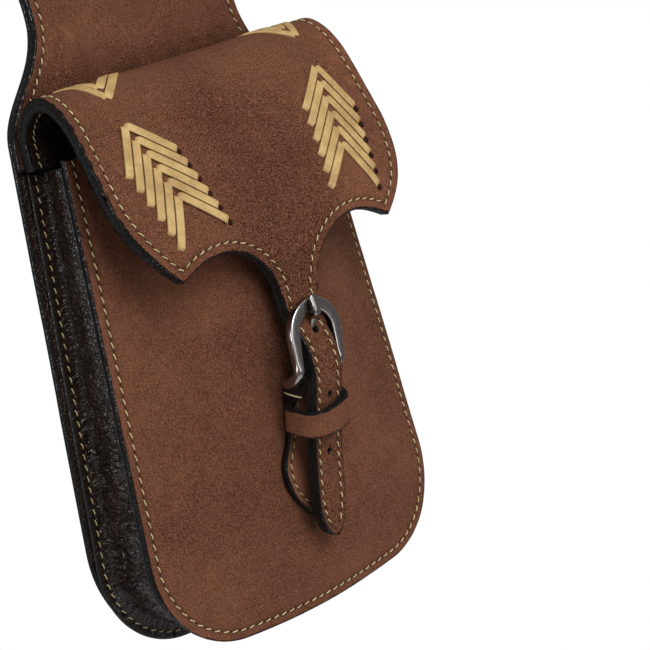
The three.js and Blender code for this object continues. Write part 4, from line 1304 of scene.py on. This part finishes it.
def keeper_sheet(sizes):
    """The keeper's outer face: up one side of the strap, over it and down the other, carried upwards.

    Its section is two walls turned in at their feet and a crowned top, joined by arcs and leaning
    by the tilt.
    """
    seat = panel_out(KEEPER_HEIGHT) + CHAPE_THICK + 3 * sizes.gap
    strap_out = np.interp(-KEEPER_HEIGHT, -COURSE[:, 0], COURSE[:, 1])
    rise = strap_out + KEEPER_LIFT - seat
    tuck = KEEPER_WALL + TUCK_CLEAR
    right = np.concatenate([
        arc((KEEPER_HALF - KEEPER_ROUND, rise - KEEPER_ROUND), KEEPER_ROUND, math.pi / 2, 0, steps=24),
        arc((KEEPER_HALF - tuck, tuck), tuck, 0, -KEEPER_TUCK, steps=16)])
    section = evenly(np.concatenate([right[::-1] * MIRROR, right]), SMALL_CELL)
    crown = KEEPER_CROWN * np.clip(1 - (section[:, 0] / KEEPER_HALF) ** 2, 0, 1) * (section[:, 1] > tuck)
    up = spread(-KEEPER_TALL / 2, KEEPER_TALL / 2, SMALL_CELL)
    lean_out, lean_up = math.cos(KEEPER_TILT), math.sin(KEEPER_TILT)
    raised = (section[:, 1] + crown)[None]
    height = KEEPER_HEIGHT - raised * lean_up + KEEPER_SLANT * section[:, 0]
    height = height + up[:, None] * lean_out * (1 + KEEPER_FLARE * section[:, 0] / KEEPER_HALF)
    out = seat + raised * lean_out + up[:, None] * lean_up
    across = np.broadcast_to(
        section[:, 0] * np.where(section[:, 0] < 0, KEEPER_LONG_SIDE, 1), height.shape)
    flat = np.stack(np.broadcast_arrays(run_of(section)[None], up[:, None]), axis=-1).reshape(-1, 2)
    return flat, place(across, height, out).reshape(-1, 3), grid_quads(len(up), len(section))


# Finishes

def feed(tree, sockets, values):
    """Feeds sockets by key: links one that is given a socket, and sets the value of any other."""
    for key, value in values.items():
        socket = sockets[key]
        if isinstance(value, bpy.types.NodeSocket):
            tree.links.new(value, socket)
        else:
            socket.default_value = (*value, 1.0) if socket.type == "RGBA" else value


def node(tree, kind, inputs=None, **settings):
    """A node with its settings and inputs."""
    made = tree.nodes.new(kind)
    for key, value in settings.items():
        setattr(made, key, value)
    feed(tree, made.inputs, inputs or {})
    return made


def maths(tree, operation, *values):
    """A maths node's result."""
    return node(tree, "ShaderNodeMath", dict(enumerate(values)), operation=operation).outputs[0]


def mapped(tree, value, low, high, to_low=0.0, to_high=1.0):
    """A value taken smoothly from one range to another."""
    return node(tree, "ShaderNodeMapRange", {
        "Value": value, "From Min": low, "From Max": high, "To Min": to_low, "To Max": to_high,
    }, interpolation_type="SMOOTHSTEP").outputs["Result"]


def mixed(tree, share, first, second):
    """A colour mixed from two by a share; the node's sockets for colours are the sixth and seventh."""
    return node(tree, "ShaderNodeMix", {0: share, 6: first, 7: second}, data_type="RGBA").outputs[2]


def noise(tree, where, per_metre, detail=3.0, roughness=0.6):
    """Noise from 0 to 1 with so many features to the metre."""
    return node(tree, "ShaderNodeTexNoise", {
        "Vector": where, "Scale": per_metre, "Detail": detail, "Roughness": roughness,
    }).outputs["Fac"]


def stretched(tree, where, scale, turn=(0.0, 0.0, 0.0)):
    """Coordinates turned and then drawn out, for noise that runs one way."""
    return node(tree, "ShaderNodeMapping", {
        "Vector": where, "Scale": scale, "Rotation": turn}, vector_type="TEXTURE").outputs["Vector"]


def object_place(tree):
    """Coordinates of the object."""
    return node(tree, "ShaderNodeTexCoord").outputs["Object"]


def mark(tree, name):
    """A float attribute of the mesh."""
    return node(tree, "ShaderNodeAttribute", attribute_name=name).outputs["Fac"]


def group_tree(name, inputs, outputs):
    """A new node group with value inputs and outputs: its tree, what comes in and what goes out."""
    tree = bpy.data.node_groups.new(name, "ShaderNodeTree")
    for label, value in inputs.items():
        socket = tree.interface.new_socket(label, in_out="INPUT", socket_type="NodeSocketFloat")
        socket.default_value = value
    for label in outputs:
        tree.interface.new_socket(label, in_out="OUTPUT", socket_type="NodeSocketFloat")
    return tree, tree.nodes.new("NodeGroupInput").outputs, tree.nodes.new("NodeGroupOutput").inputs


def nap_group():
    """Brushed nap about a tone: fine fibres that lean two ways with pale tips, tufts, broad rubbed
    patches and slanting scuffs."""
    tree, given, result = group_tree(
        "nap", {"Tone": 0.5, "Fibre": 0.6, "Fineness": 3000.0, "Scuff": 0.2}, ["Shade", "Height"])
    where = object_place(tree)
    one, other = (
        noise(tree, stretched(tree, where, (1.0, 1.0, 3.0), (0.0, turn, 0.0)), given["Fineness"], 2.0, 0.7)
        for turn in (0.35, -0.75))
    swirl = mapped(tree, noise(tree, where, 150, 2.0, 0.5), 0.488, 0.512)
    leaning = maths(tree, "MULTIPLY_ADD", maths(tree, "SUBTRACT", other, one), swirl, one)
    fibre = mapped(tree, leaning, 0.41, 0.71, -0.27, 0.73)
    tuft = mapped(tree, noise(tree, where, 330, 3.0, 0.6), 0.32, 0.68, -0.05, 0.05)
    patch = mapped(tree, noise(tree, where, 60, 4.0, 0.62), 0.30, 0.70, -0.06, 0.06)
    cloud = mapped(tree, noise(tree, where, 17, 2.0, 0.5), 0.30, 0.70, -0.08, 0.08)
    slant = noise(tree, stretched(tree, where, (1.0, 1.0, 3.5), (0.0, -0.75, 0.0)), 240, 4.0, 0.65)
    rubbed = maths(tree, "MULTIPLY", mapped(tree, slant, 0.56, 0.74), mapped(tree, cloud, -0.02, 0.06))
    wide = maths(tree, "ADD", maths(tree, "ADD", patch, cloud), maths(tree, "ADD", tuft, given["Tone"]))
    wide = maths(tree, "MULTIPLY_ADD", rubbed, given["Scuff"], wide)
    feed(tree, result, {
        "Shade": maths(tree, "MULTIPLY_ADD", fibre, given["Fibre"], wide),
        "Height": maths(tree, "MULTIPLY_ADD", tuft, 7.0, fibre)})
    return tree


def grain_group():
    """Pebbled grain: rounded cells with creases between them, and finer pores."""
    tree, given, result = group_tree("grain", {"Cells": 900.0}, ["Height", "Shade"])
    where = object_place(tree)
    wander = node(tree, "ShaderNodeTexNoise", {"Vector": where, "Scale": 260.0, "Detail": 2.0})
    bent = node(tree, "ShaderNodeVectorMath", {
        0: where, 1: node(tree, "ShaderNodeVectorMath", {
            0: wander.outputs["Color"], 1: (0.0016, 0.0016, 0.0016)}, operation="MULTIPLY").outputs[0],
    }, operation="ADD").outputs[0]
    cells = node(tree, "ShaderNodeTexVoronoi", {"Vector": bent, "Scale": given["Cells"]}, feature="F1")
    dome = mapped(tree, cells.outputs["Distance"], 0.85, 0.10)
    pores = noise(tree, where, 2200, 2.0, 0.5)
    feed(tree, result, {
        "Height": maths(tree, "MULTIPLY_ADD", pores, 0.25, dome),
        "Shade": noise(tree, where, 90, 4.0, 0.6)})
    return tree


def crease_group():
    """Wrinkles of a soft strip: pillows between sharp lines that run away from its seam, deeper low down."""
    tree, given, result = group_tree("creases", {"Depth": 1.0}, ["Height"])
    where = object_place(tree)
    wander = maths(tree, "MULTIPLY", noise(tree, where, 110, 2.0, 0.5), 1.6)
    spot = node(tree, "ShaderNodeCombineXYZ", {
        "X": maths(tree, "ADD", mark(tree, "seam_run"), wander),
        "Y": maths(tree, "MULTIPLY", mark(tree, "seam_aside"), 45.0)}).outputs["Vector"]
    from_line = maths(tree, "ABSOLUTE", maths(tree, "SUBTRACT", noise(tree, spot, 1.6, 2.0, 0.5), 0.5))
    pillow = mapped(tree, from_line, 0.0, 0.14)
    height = node(tree, "ShaderNodeSeparateXYZ", {"Vector": where}).outputs["Z"]
    lower = mapped(tree, height, -0.27, -0.20, 1.0, 0.3)
    deep = maths(tree, "MULTIPLY", lower, given["Depth"])
    feed(tree, result, {"Height": maths(tree, "MULTIPLY", pillow, deep)})
    return tree


def edge_group():
    """Dyed cut edge: the wall of a layer and a ragged margin beside it, with glossy specks."""
    tree, given, result = group_tree("dyed_edge", {"Reach": 0.3 * MM}, ["Mask", "Gloss"])
    where = object_place(tree)
    ragged = mapped(tree, noise(tree, where, 2200, 3.0, 0.7), 0.25, 0.75, -0.2 * MM, 0.2 * MM)
    beyond = maths(tree, "SUBTRACT", maths(tree, "ADD", mark(tree, "rim"), ragged), given["Reach"])
    mask = mapped(tree, beyond, 0.14 * MM, -0.14 * MM)
    specks = mapped(tree, noise(tree, where, 1300, 2.0, 0.6), 0.50, 0.66, 0.05, 1.0)
    feed(tree, result, {"Mask": mask, "Gloss": maths(tree, "MULTIPLY", mask, specks)})
    return tree


def seam_group():
    """Seam marks: masks of the needle's holes between stitches and of the pressed line, where painted shade
    goes; the holes also sink the bump.
    """
    tree, given, result = group_tree("seam_marks", {"Needle": 0.36 * MM}, ["Hole", "Line"])
    part = maths(tree, "FRACT", mark(tree, "seam_run"))
    from_stitch = maths(tree, "ABSOLUTE", maths(tree, "SUBTRACT", part, 0.5))
    aside = maths(tree, "ABSOLUTE", mark(tree, "seam_aside"))
    between = mapped(tree, from_stitch, 0.34, 0.42)
    beside = mapped(tree, maths(tree, "SUBTRACT", given["Needle"], aside), 0.0, 0.22 * MM)
    feed(tree, result, {
        "Hole": maths(tree, "MULTIPLY", between, beside),
        "Line": mapped(tree, aside, 1.5 * MM, 0.3 * MM)})
    return tree


GROUP_MAKERS = {
    "nap": nap_group,
    "grain": grain_group,
    "creases": crease_group,
    "dyed_edge": edge_group,
    "seam_marks": seam_group,
}


def shared(tree, name, values):
    """A shared node group placed in a material with its own values, built the first time."""
    known = bpy.data.node_groups.get(name) or GROUP_MAKERS[name]()
    return node(tree, "ShaderNodeGroup", values, node_tree=known).outputs


def surface(name):
    """A new material, its node tree and its Principled shader."""
    material = bpy.data.materials.new(name)
    material.use_nodes = True
    return material, material.node_tree, material.node_tree.nodes["Principled BSDF"]


def bump(tree, height, strength, distance):
    """A normal raised by a height."""
    return node(tree, "ShaderNodeBump", {
        "Height": height, "Strength": strength, "Distance": distance}).outputs["Normal"]


def suede_finish(name, colours, nap_values):
    """Rough-out leather: mottled nap, worn and with painted light and shade by piece, painted shade along
    the seams and in the needle holes, and dyed edges.
    """
    material, tree, shader = surface(name)
    nap = shared(tree, "nap", nap_values)
    seam = shared(tree, "seam_marks", {"Needle": 0.36 * MM})
    edge = shared(tree, "dyed_edge", {"Reach": 0.28 * MM})
    dyed = edge["Mask"]
    # The nap's tone shifted by wear and by the painted light and shade of each piece
    worn = maths(tree, "ADD", nap["Shade"], mark(tree, "wear_and_painted_light"))
    coat = mixed(tree, worn, colours.suede_dark, colours.suede_pale)
    # Painted shade along the pressed seam
    coat = mixed(tree, maths(tree, "MULTIPLY", seam["Line"], 0.30), coat, colours.suede_dark)
    # Painted shade in the needle holes
    coat = mixed(tree, maths(tree, "MULTIPLY", seam["Hole"], 0.8), coat, colours.shade)
    coat = mixed(tree, dyed, coat, colours.edge)
    kept = maths(tree, "SUBTRACT", 1.0, dyed)
    height = maths(tree, "SUBTRACT", maths(tree, "MULTIPLY", nap["Height"], kept),
                   maths(tree, "MULTIPLY", seam["Hole"], 1.5))
    feed(tree, shader.inputs, {
        "Base Color": coat,
        "Roughness": mapped(tree, dyed, 0.0, 1.0, 0.95, 0.60),
        "Coat Weight": edge["Gloss"],
        "Coat Roughness": 0.20,
        "Specular IOR Level": 0.06,
        "Sheen Weight": 0.03,
        "Sheen Roughness": 0.45,
        "Sheen Tint": (0.85, 0.62, 0.50),
        "Normal": bump(tree, height, 0.7, 0.4 * MM)})
    return material


def panel_suede(colours):
    """Suede of the panel, yoke, chape and keeper."""
    values = {"Tone": 0.48, "Fibre": 1.15, "Fineness": 4300.0, "Scuff": 0.3}
    return suede_finish("rough_out_suede", colours, values)


def flap_suede(colours):
    """Rougher suede of the flap and strap, with coarser fibres and more scuffs."""
    values = {"Tone": 0.48, "Fibre": 1.5, "Fineness": 3600.0, "Scuff": 0.5}
    return suede_finish("rougher_suede", colours, values)


def black_finish(name, colours, shine, pebble, depth):
    """Soft black leather with a pebbled and creased grain that catches the light, duller on its edges."""
    material, tree, shader = surface(name)
    grain = shared(tree, "grain", {"Cells": 900.0})
    creases = shared(tree, "creases", {"Depth": depth})
    seam = shared(tree, "seam_marks", {"Needle": 0.32 * MM})
    edge = shared(tree, "dyed_edge", {"Reach": 0.2 * MM})
    dyed = edge["Mask"]
    rubbed = maths(tree, "MULTIPLY", mapped(tree, grain["Shade"], 0.4, 0.75), 0.6)
    coat = mixed(tree, rubbed, colours.black, tuple(2.2 * part for part in colours.black))
    # Painted shade in the needle holes, in the edge dye's colour, and the dyed edges
    coat = mixed(tree, maths(tree, "MAXIMUM", seam["Hole"], dyed), coat, colours.edge)
    polish = mapped(tree, grain["Shade"], 0.3, 0.7, 0.22, 0.36)
    dull = maths(tree, "MULTIPLY", dyed, 0.85)
    kept = maths(tree, "MULTIPLY_ADD", dyed, -0.8, 1.0)
    relief = maths(tree, "MULTIPLY_ADD", grain["Height"], pebble, creases["Height"])
    height = maths(tree, "SUBTRACT", maths(tree, "MULTIPLY", relief, kept),
                   maths(tree, "MULTIPLY", seam["Hole"], 1.5))
    feed(tree, shader.inputs, {
        "Base Color": coat,
        "Roughness": maths(tree, "MAXIMUM", polish, dull),
        "Coat Weight": edge["Gloss"],
        "Coat Roughness": 0.20,
        "Specular IOR Level": shine,
        "Normal": bump(tree, height, 1.0, 0.30 * MM)})
    return material


def flat_black(colours):
    """Black leather of the back and the lining."""
    return black_finish("grained_black", colours, 0.18, 1.0, 0.0)


def gusset_black(colours):
    """Black leather of the gusset, wrinkled where it turns the corners."""
    return black_finish("wrinkled_black", colours, 0.36, 0.55, 3.0)


def lace_finish(colours):
    """Smooth pale lace with soft blotches and fine specks."""
    material, tree, shader = surface("gold_lace")
    where = object_place(tree)
    tone = noise(tree, where, 130, 4.0, 0.6)
    speck = noise(tree, where, 1900, 2.0, 0.6)
    share = maths(tree, "MULTIPLY_ADD", mapped(tree, tone, 0.3, 0.7), 0.65,
                  maths(tree, "MULTIPLY", mapped(tree, speck, 0.3, 0.7), 0.35))
    feed(tree, shader.inputs, {
        "Base Color": mixed(tree, share, colours.lace_dark, colours.lace_pale),
        "Roughness": mapped(tree, speck, 0.3, 0.7, 0.48, 0.68),
        "Normal": bump(tree, maths(tree, "MULTIPLY_ADD", tone, 2.0, speck), 0.25, 0.15 * MM)})
    return material


def thread_finish(colours):
    """Waxed thread, paler and darker along its length."""
    material, tree, shader = surface("waxed_thread")
    where = object_place(tree)
    tone = mapped(tree, noise(tree, where, 300, 3.0, 0.6), 0.3, 0.7)
    dark = tuple(0.62 * part for part in colours.thread)
    feed(tree, shader.inputs, {
        "Base Color": mixed(tree, tone, dark, colours.thread),
        "Roughness": mapped(tree, tone, 0.0, 1.0, 0.65, 0.5),
        "Normal": bump(tree, noise(tree, where, 2600, 2.0, 0.5), 0.4, 0.12 * MM)})
    return material


def nickel_finish(colours):
    """Dark plating, brushed, worn brighter along the corners."""
    material, tree, shader = surface("worn_nickel")
    where = object_place(tree)
    brushed = noise(tree, stretched(tree, where, (1.0, 1.0, 8.0)), 1800, 3.0, 0.6)
    blotch = noise(tree, where, 240, 3.0, 0.6)
    worn = maths(tree, "MULTIPLY", maths(tree, "POWER", mark(tree, "worn"), 1.6),
                 mapped(tree, blotch, 0.3, 0.65, 0.35, 1.0))
    feed(tree, shader.inputs, {
        "Base Color": mixed(tree, worn, colours.nickel, colours.nickel_worn),
        "Roughness": mapped(tree, brushed, 0.25, 0.75, 0.12, 0.26),
        "Metallic": 1.0,
        "Normal": bump(tree, brushed, 0.08, 0.06 * MM)})
    return material


def slot_finish(colours):
    """Shadowed depth of a slot, with ragged fibres."""
    material, tree, shader = surface("slot_shade")
    tone = mapped(tree, noise(tree, object_place(tree), 1500, 3.0, 0.6), 0.3, 0.7)
    feed(tree, shader.inputs, {
        "Base Color": mixed(tree, tone, colours.shade, colours.suede_dark),
        "Roughness": mapped(tree, tone, 0.0, 1.0, 0.9, 1.0),
        "Specular IOR Level": 0.05})
    return material


FINISH_MAKERS = {
    "rough_out_suede": panel_suede,
    "rougher_suede": flap_suede,
    "grained_black": flat_black,
    "wrinkled_black": gusset_black,
    "gold_lace": lace_finish,
    "waxed_thread": thread_finish,
    "worn_nickel": nickel_finish,
    "slot_shade": slot_finish,
}


def finish(name):
    """A finish by name, made the first time it is asked for."""
    return bpy.data.materials.get(name) or FINISH_MAKERS[name](bpy.context.scene.bag_colours)


# Pieces

def layer_piece(node_name, sheet, thickness, sizes, wear_and_painted_light=0.0):
    """The layer of leather that stands for a node, on its sheet, with the thread of its seams.

    Wear and painted light is how much paler the face is made, by wear and by painted light, and darker below
    nought with painted shade. The rounding of its edges stays under half the thickness.
    """
    layer = LAYERS[node_name]
    flat, outer, quads, seams = sheet
    outer, marks = worked(outer, quads, flat, seams, sizes, layer.swing, layer.seed)
    marks["wear_and_painted_light"] = np.broadcast_to(wear_and_painted_light, (len(flat),))
    rounding = min(sizes.rounding, np.min(thickness) * ROUNDING_SHARE)
    points, faces, rim = hide_layer(outer, quads, thickness, rounding, rounding * layer.under)
    piece = make_piece(layer.piece, points, outwards(points, faces), finish(layer.finish),
                       both_sheets(marks, rim))
    settle(piece, layer.slot, node_name)
    if layer.thread:
        sew(layer.thread, seams, flat, outer, point_normals(outer, quads), sizes, finish("waxed_thread"))


class BAG_OT_back_and_yoke(bpy.types.Operator):
    """Make the black back and the suede facing of its yoke"""

    bl_idname = "bag.back_and_yoke"
    bl_label = "Back and yoke"

    def execute(self, context):
        sizes = context.scene.bag_sizes
        layer_piece("back_panel", back_sheet(sizes), sizes.hide, sizes)
        facing = facing_sheet(sizes)
        # The yoke's foot gets painted shade from the flap's fold
        layer_piece("yoke_facing", facing, sizes.hide + sizes.gap, sizes, yoke_painted_shade(facing[0]))
        return {"FINISHED"}


class BAG_OT_gusset(bpy.types.Operator):
    """Make the wrinkled gusset between back and front"""

    bl_idname = "bag.gusset"
    bl_label = "Gusset"

    def execute(self, context):
        sizes = context.scene.bag_sizes
        layer_piece("gusset", gusset_sheet(sizes), sizes.gusset, sizes)
        return {"FINISHED"}


class BAG_OT_front_panel(bpy.types.Operator):
    """Make the stuffed front panel"""

    bl_idname = "bag.front_panel"
    bl_label = "Front panel"

    def execute(self, context):
        sizes = context.scene.bag_sizes
        layer_piece("front_panel", front_sheet(sizes), sizes.panel, sizes)
        return {"FINISHED"}


class BAG_OT_flap(bpy.types.Operator):
    """Make the flap with its strap, and their lining"""

    bl_idname = "bag.flap"
    bl_label = "Flap and strap"

    def execute(self, context):
        sizes = context.scene.bag_sizes
        flat, quads = flap_sheet(sizes)
        seams = flap_seam()
        thickness = sizes.hide + sizes.gap / 2
        outer = on_flap(*flat.T)
        # The flap's face gets wear and, by the fold, painted light
        layer_piece("flap", (flat, outer, quads, seams), thickness, sizes, flap_wear_and_light(flat))
        under = on_flap(*flat.T, 2 * sizes.hide + sizes.gap)
        layer_piece("flap_lining", (flat, under, quads[:, ::-1], seams), thickness, sizes)
        return {"FINISHED"}


class BAG_OT_lacing(bpy.types.Operator):
    """Make the lace chevrons and the painted shade of the slots that they go into"""

    bl_idname = "bag.lacing"
    bl_label = "Lacing"

    def execute(self, context):
        sizes = context.scene.bag_sizes
        spots = []
        for side, sign, fold in (("left", -1, LEFT_FOLD), ("right", 1, RIGHT_FOLD)):
            rows = [(f"{side}_{k + 1}", chevron) for k, chevron in enumerate(CHEVRONS)]
            rows += [(f"fold_{side}_{k + 1}", chevron) for k, chevron in enumerate(fold)]
            for label, chevron in rows:
                point, inner, outer = chevron_ends(chevron, sign)
                layer = 0.0 if chevron.turn > 0 else FOLD_PRESS
                points, quads, caps, _ = join([
                    lace_arm(outer, point, layer, sizes),
                    lace_arm(point, inner, layer + OVERLAP_LIFT, sizes)])
                quads, caps = turned_out(points, quads, caps)
                piece = make_piece(f"laced_{label}", points, quads, finish("gold_lace"), caps=caps)
                settle(piece, "lace", f"lace_{label}")
                end = inner if sign < 0 else outer
                spots.append(end + unit(end - point) * SLOT_BEYOND)
        self.slots(np.array(spots))
        return {"FINISHED"}

    def slots(self, spots):
        """Painted shade of the slots at the ends of the arms: dark ovals, rings of shrinking radius on the
        flap.
        """
        angle = np.linspace(0, 2 * math.pi, SLOT_SIDES, endpoint=False)
        ring = np.stack([np.cos(angle), np.sin(angle)], axis=1)
        flat = spots[:, None, None] + ring * SLOT_RADII[:, None, None]
        depth = -np.broadcast_to(SLOT_LIFTS[:, None], flat.shape[:-1])
        points, quads, caps = capped_tubes(on_flap(flat[..., 0], flat[..., 1], depth))
        quads, caps = turned_out(points, quads, caps)
        settle(make_piece("lace_slots", points, quads, finish("slot_shade"), caps=caps), "suede")


class BAG_OT_chape_and_keeper(bpy.types.Operator):
    """Make the tab that holds the buckle and the keeper over the strap"""

    bl_idname = "bag.chape_and_keeper"
    bl_label = "Chape and keeper"

    def execute(self, context):
        sizes = context.scene.bag_sizes
        (flat, outer, quads, seams), thickness = chape_sheet(sizes)
        chape = (flat, outer + SEWN_ASIDE, quads, seams)
        # The chape's suede is made paler with painted light
        layer_piece("buckle_chape", chape, thickness, sizes, CHAPE_PAINTED_LIGHT)
        points, quads, caps = chape_tack(sizes)
        tack = make_piece("chape_tack", points + SEWN_ASIDE, quads, finish("waxed_thread"), caps=caps)
        settle(tack, "lace")
        flat, outer, quads = keeper_sheet(sizes)
        layer_piece("strap_keeper", (flat, outer + SEWN_ASIDE, quads, NO_SEAM), KEEPER_WALL, sizes)
        return {"FINISHED"}


class BAG_OT_buckle(bpy.types.Operator):
    """Make the buckle's frame and prong"""

    bl_idname = "bag.buckle"
    bl_label = "Buckle"

    def execute(self, context):
        sizes = context.scene.bag_sizes
        pieces = (("buckle_horseshoe", "buckle_frame", buckle_frame_parts()),
                  ("buckle_tongue", "buckle_prong", prong_parts(sizes)))
        for name, node_name, parts in pieces:
            points, quads, caps, worn = join(parts)
            piece = make_piece(name, points + SEWN_ASIDE, quads, finish("worn_nickel"), {"worn": worn}, caps)
            settle(piece, "dark_nickel", node_name)
        return {"FINISHED"}


class BAG_OT_stage(bpy.types.Operator):
    """Set the camera, the soft lights and the pale floor"""

    bl_idname = "bag.stage"
    bl_label = "Stage"

    def execute(self, context):
        stage = context.scene.bag_stage
        self.camera(context, stage)
        powers = {"key": stage.key_power, "fill": stage.fill_power, "edge": stage.edge_power}
        for name, (spot, size) in LIGHTS.items():
            self.lamp(context, name, spot, size, powers[name])
        self.floor(context, stage)
        self.surroundings(context, stage)
        context.scene.view_settings.view_transform = "Standard"
        return {"FINISHED"}

    def camera(self, context, stage):
        """The camera at its place, turned to the target and rolled."""
        camera = bpy.data.objects.new("camera", bpy.data.cameras.new("camera"))
        camera.data.lens = stage.lens
        camera.data.sensor_width = SENSOR
        turn = (Vector(stage.target) - Vector(stage.eye)).to_track_quat("-Z", "Y").to_matrix().to_4x4()
        camera.matrix_world = Matrix.Translation(stage.eye) @ turn @ Matrix.Rotation(stage.roll, 4, "Z")
        context.scene.collection.objects.link(camera)
        context.scene.camera = camera

    def lamp(self, context, name, spot, size, power):
        """A square soft light turned to the bag's middle."""
        light = bpy.data.lights.new(name, "AREA")
        light.energy = power
        light.size = size
        lamp = bpy.data.objects.new(name, light)
        middle = (Vector(CAD_BOX[0]) + Vector(CAD_BOX[1])) / 2
        turn = (middle - Vector(spot)).to_track_quat("-Z", "Y").to_matrix().to_4x4()
        lamp.matrix_world = Matrix.Translation(spot) @ turn
        context.scene.collection.objects.link(lamp)

    def floor(self, context, stage):
        """A flat round floor below the bag: rings of growing radius."""
        angle = np.linspace(0, 2 * math.pi, FLOOR_SIDES, endpoint=False)
        radius = FLOOR_RADII[:, None]
        level = CAD_BOX[0][2] - stage.floor_drop
        ring = (radius * np.cos(angle), radius * np.sin(angle), level)
        points = np.stack(np.broadcast_arrays(*ring), axis=-1)
        quads = grid_quads(*points.shape[:2], closed=True)[:, ::-1]
        material, tree, shader = surface("pale_floor")
        tone = noise(tree, object_place(tree), 3, 2.0, 0.5)
        pale = tuple(context.scene.bag_colours.floor)
        dimmer = tuple(0.97 * part for part in pale)
        feed(tree, shader.inputs, {"Base Color": mixed(tree, tone, dimmer, pale), "Roughness": 0.9})
        make_piece("floor", points.reshape(-1, 3), quads, material, caps=[np.arange(FLOOR_SIDES)])

    def surroundings(self, context, stage):
        """White to the camera, and a softer light to the bag."""
        world = bpy.data.worlds.new("studio")
        world.use_nodes = True
        tree = world.node_tree
        seen = node(tree, "ShaderNodeLightPath").outputs["Is Camera Ray"]
        strength = maths(tree, "MULTIPLY_ADD", seen, 1.0 - stage.ambient, stage.ambient)
        feed(tree, tree.nodes["Background"].inputs, {"Color": (1, 1, 1), "Strength": strength})
        context.scene.world = world


class BAG_PT_pieces(bpy.types.Panel):
    """The bag's pieces, sizes and colours"""

    bl_idname = "BAG_PT_pieces"
    bl_label = "Saddle horn bag"
    bl_space_type = "VIEW_3D"
    bl_region_type = "UI"
    bl_category = "Bag"

    def draw(self, context):
        for operator in OPERATORS:
            self.layout.operator(operator.bl_idname)
        for settings in (context.scene.bag_sizes, context.scene.bag_colours, context.scene.bag_stage):
            for name in settings.__annotations__:
                self.layout.prop(settings, name)


OPERATORS = (
    BAG_OT_stage,
    BAG_OT_back_and_yoke,
    BAG_OT_gusset,
    BAG_OT_front_panel,
    BAG_OT_flap,
    BAG_OT_lacing,
    BAG_OT_chape_and_keeper,
    BAG_OT_buckle,
)
CLASSES = (BagSizes, BagColours, BagStage, *OPERATORS, BAG_PT_pieces)


def register():
    """Adds the classes and the scene's settings."""
    for each in CLASSES:
        bpy.utils.register_class(each)
    bpy.types.Scene.bag_sizes = PointerProperty(type=BagSizes)
    bpy.types.Scene.bag_colours = PointerProperty(type=BagColours)
    bpy.types.Scene.bag_stage = PointerProperty(type=BagStage)


def unregister():
    """Takes the settings and classes away again."""
    del bpy.types.Scene.bag_sizes
    del bpy.types.Scene.bag_colours
    del bpy.types.Scene.bag_stage
    for each in reversed(CLASSES):
        bpy.utils.unregister_class(each)


def main():
    """Makes every piece in order."""
    register()
    bpy.ops.bag.stage()
    bpy.ops.bag.back_and_yoke()
    bpy.ops.bag.gusset()
    bpy.ops.bag.front_panel()
    bpy.ops.bag.flap()
    bpy.ops.bag.lacing()
    bpy.ops.bag.chape_and_keeper()
    bpy.ops.bag.buckle()


if __name__ == "__main__":
    main()
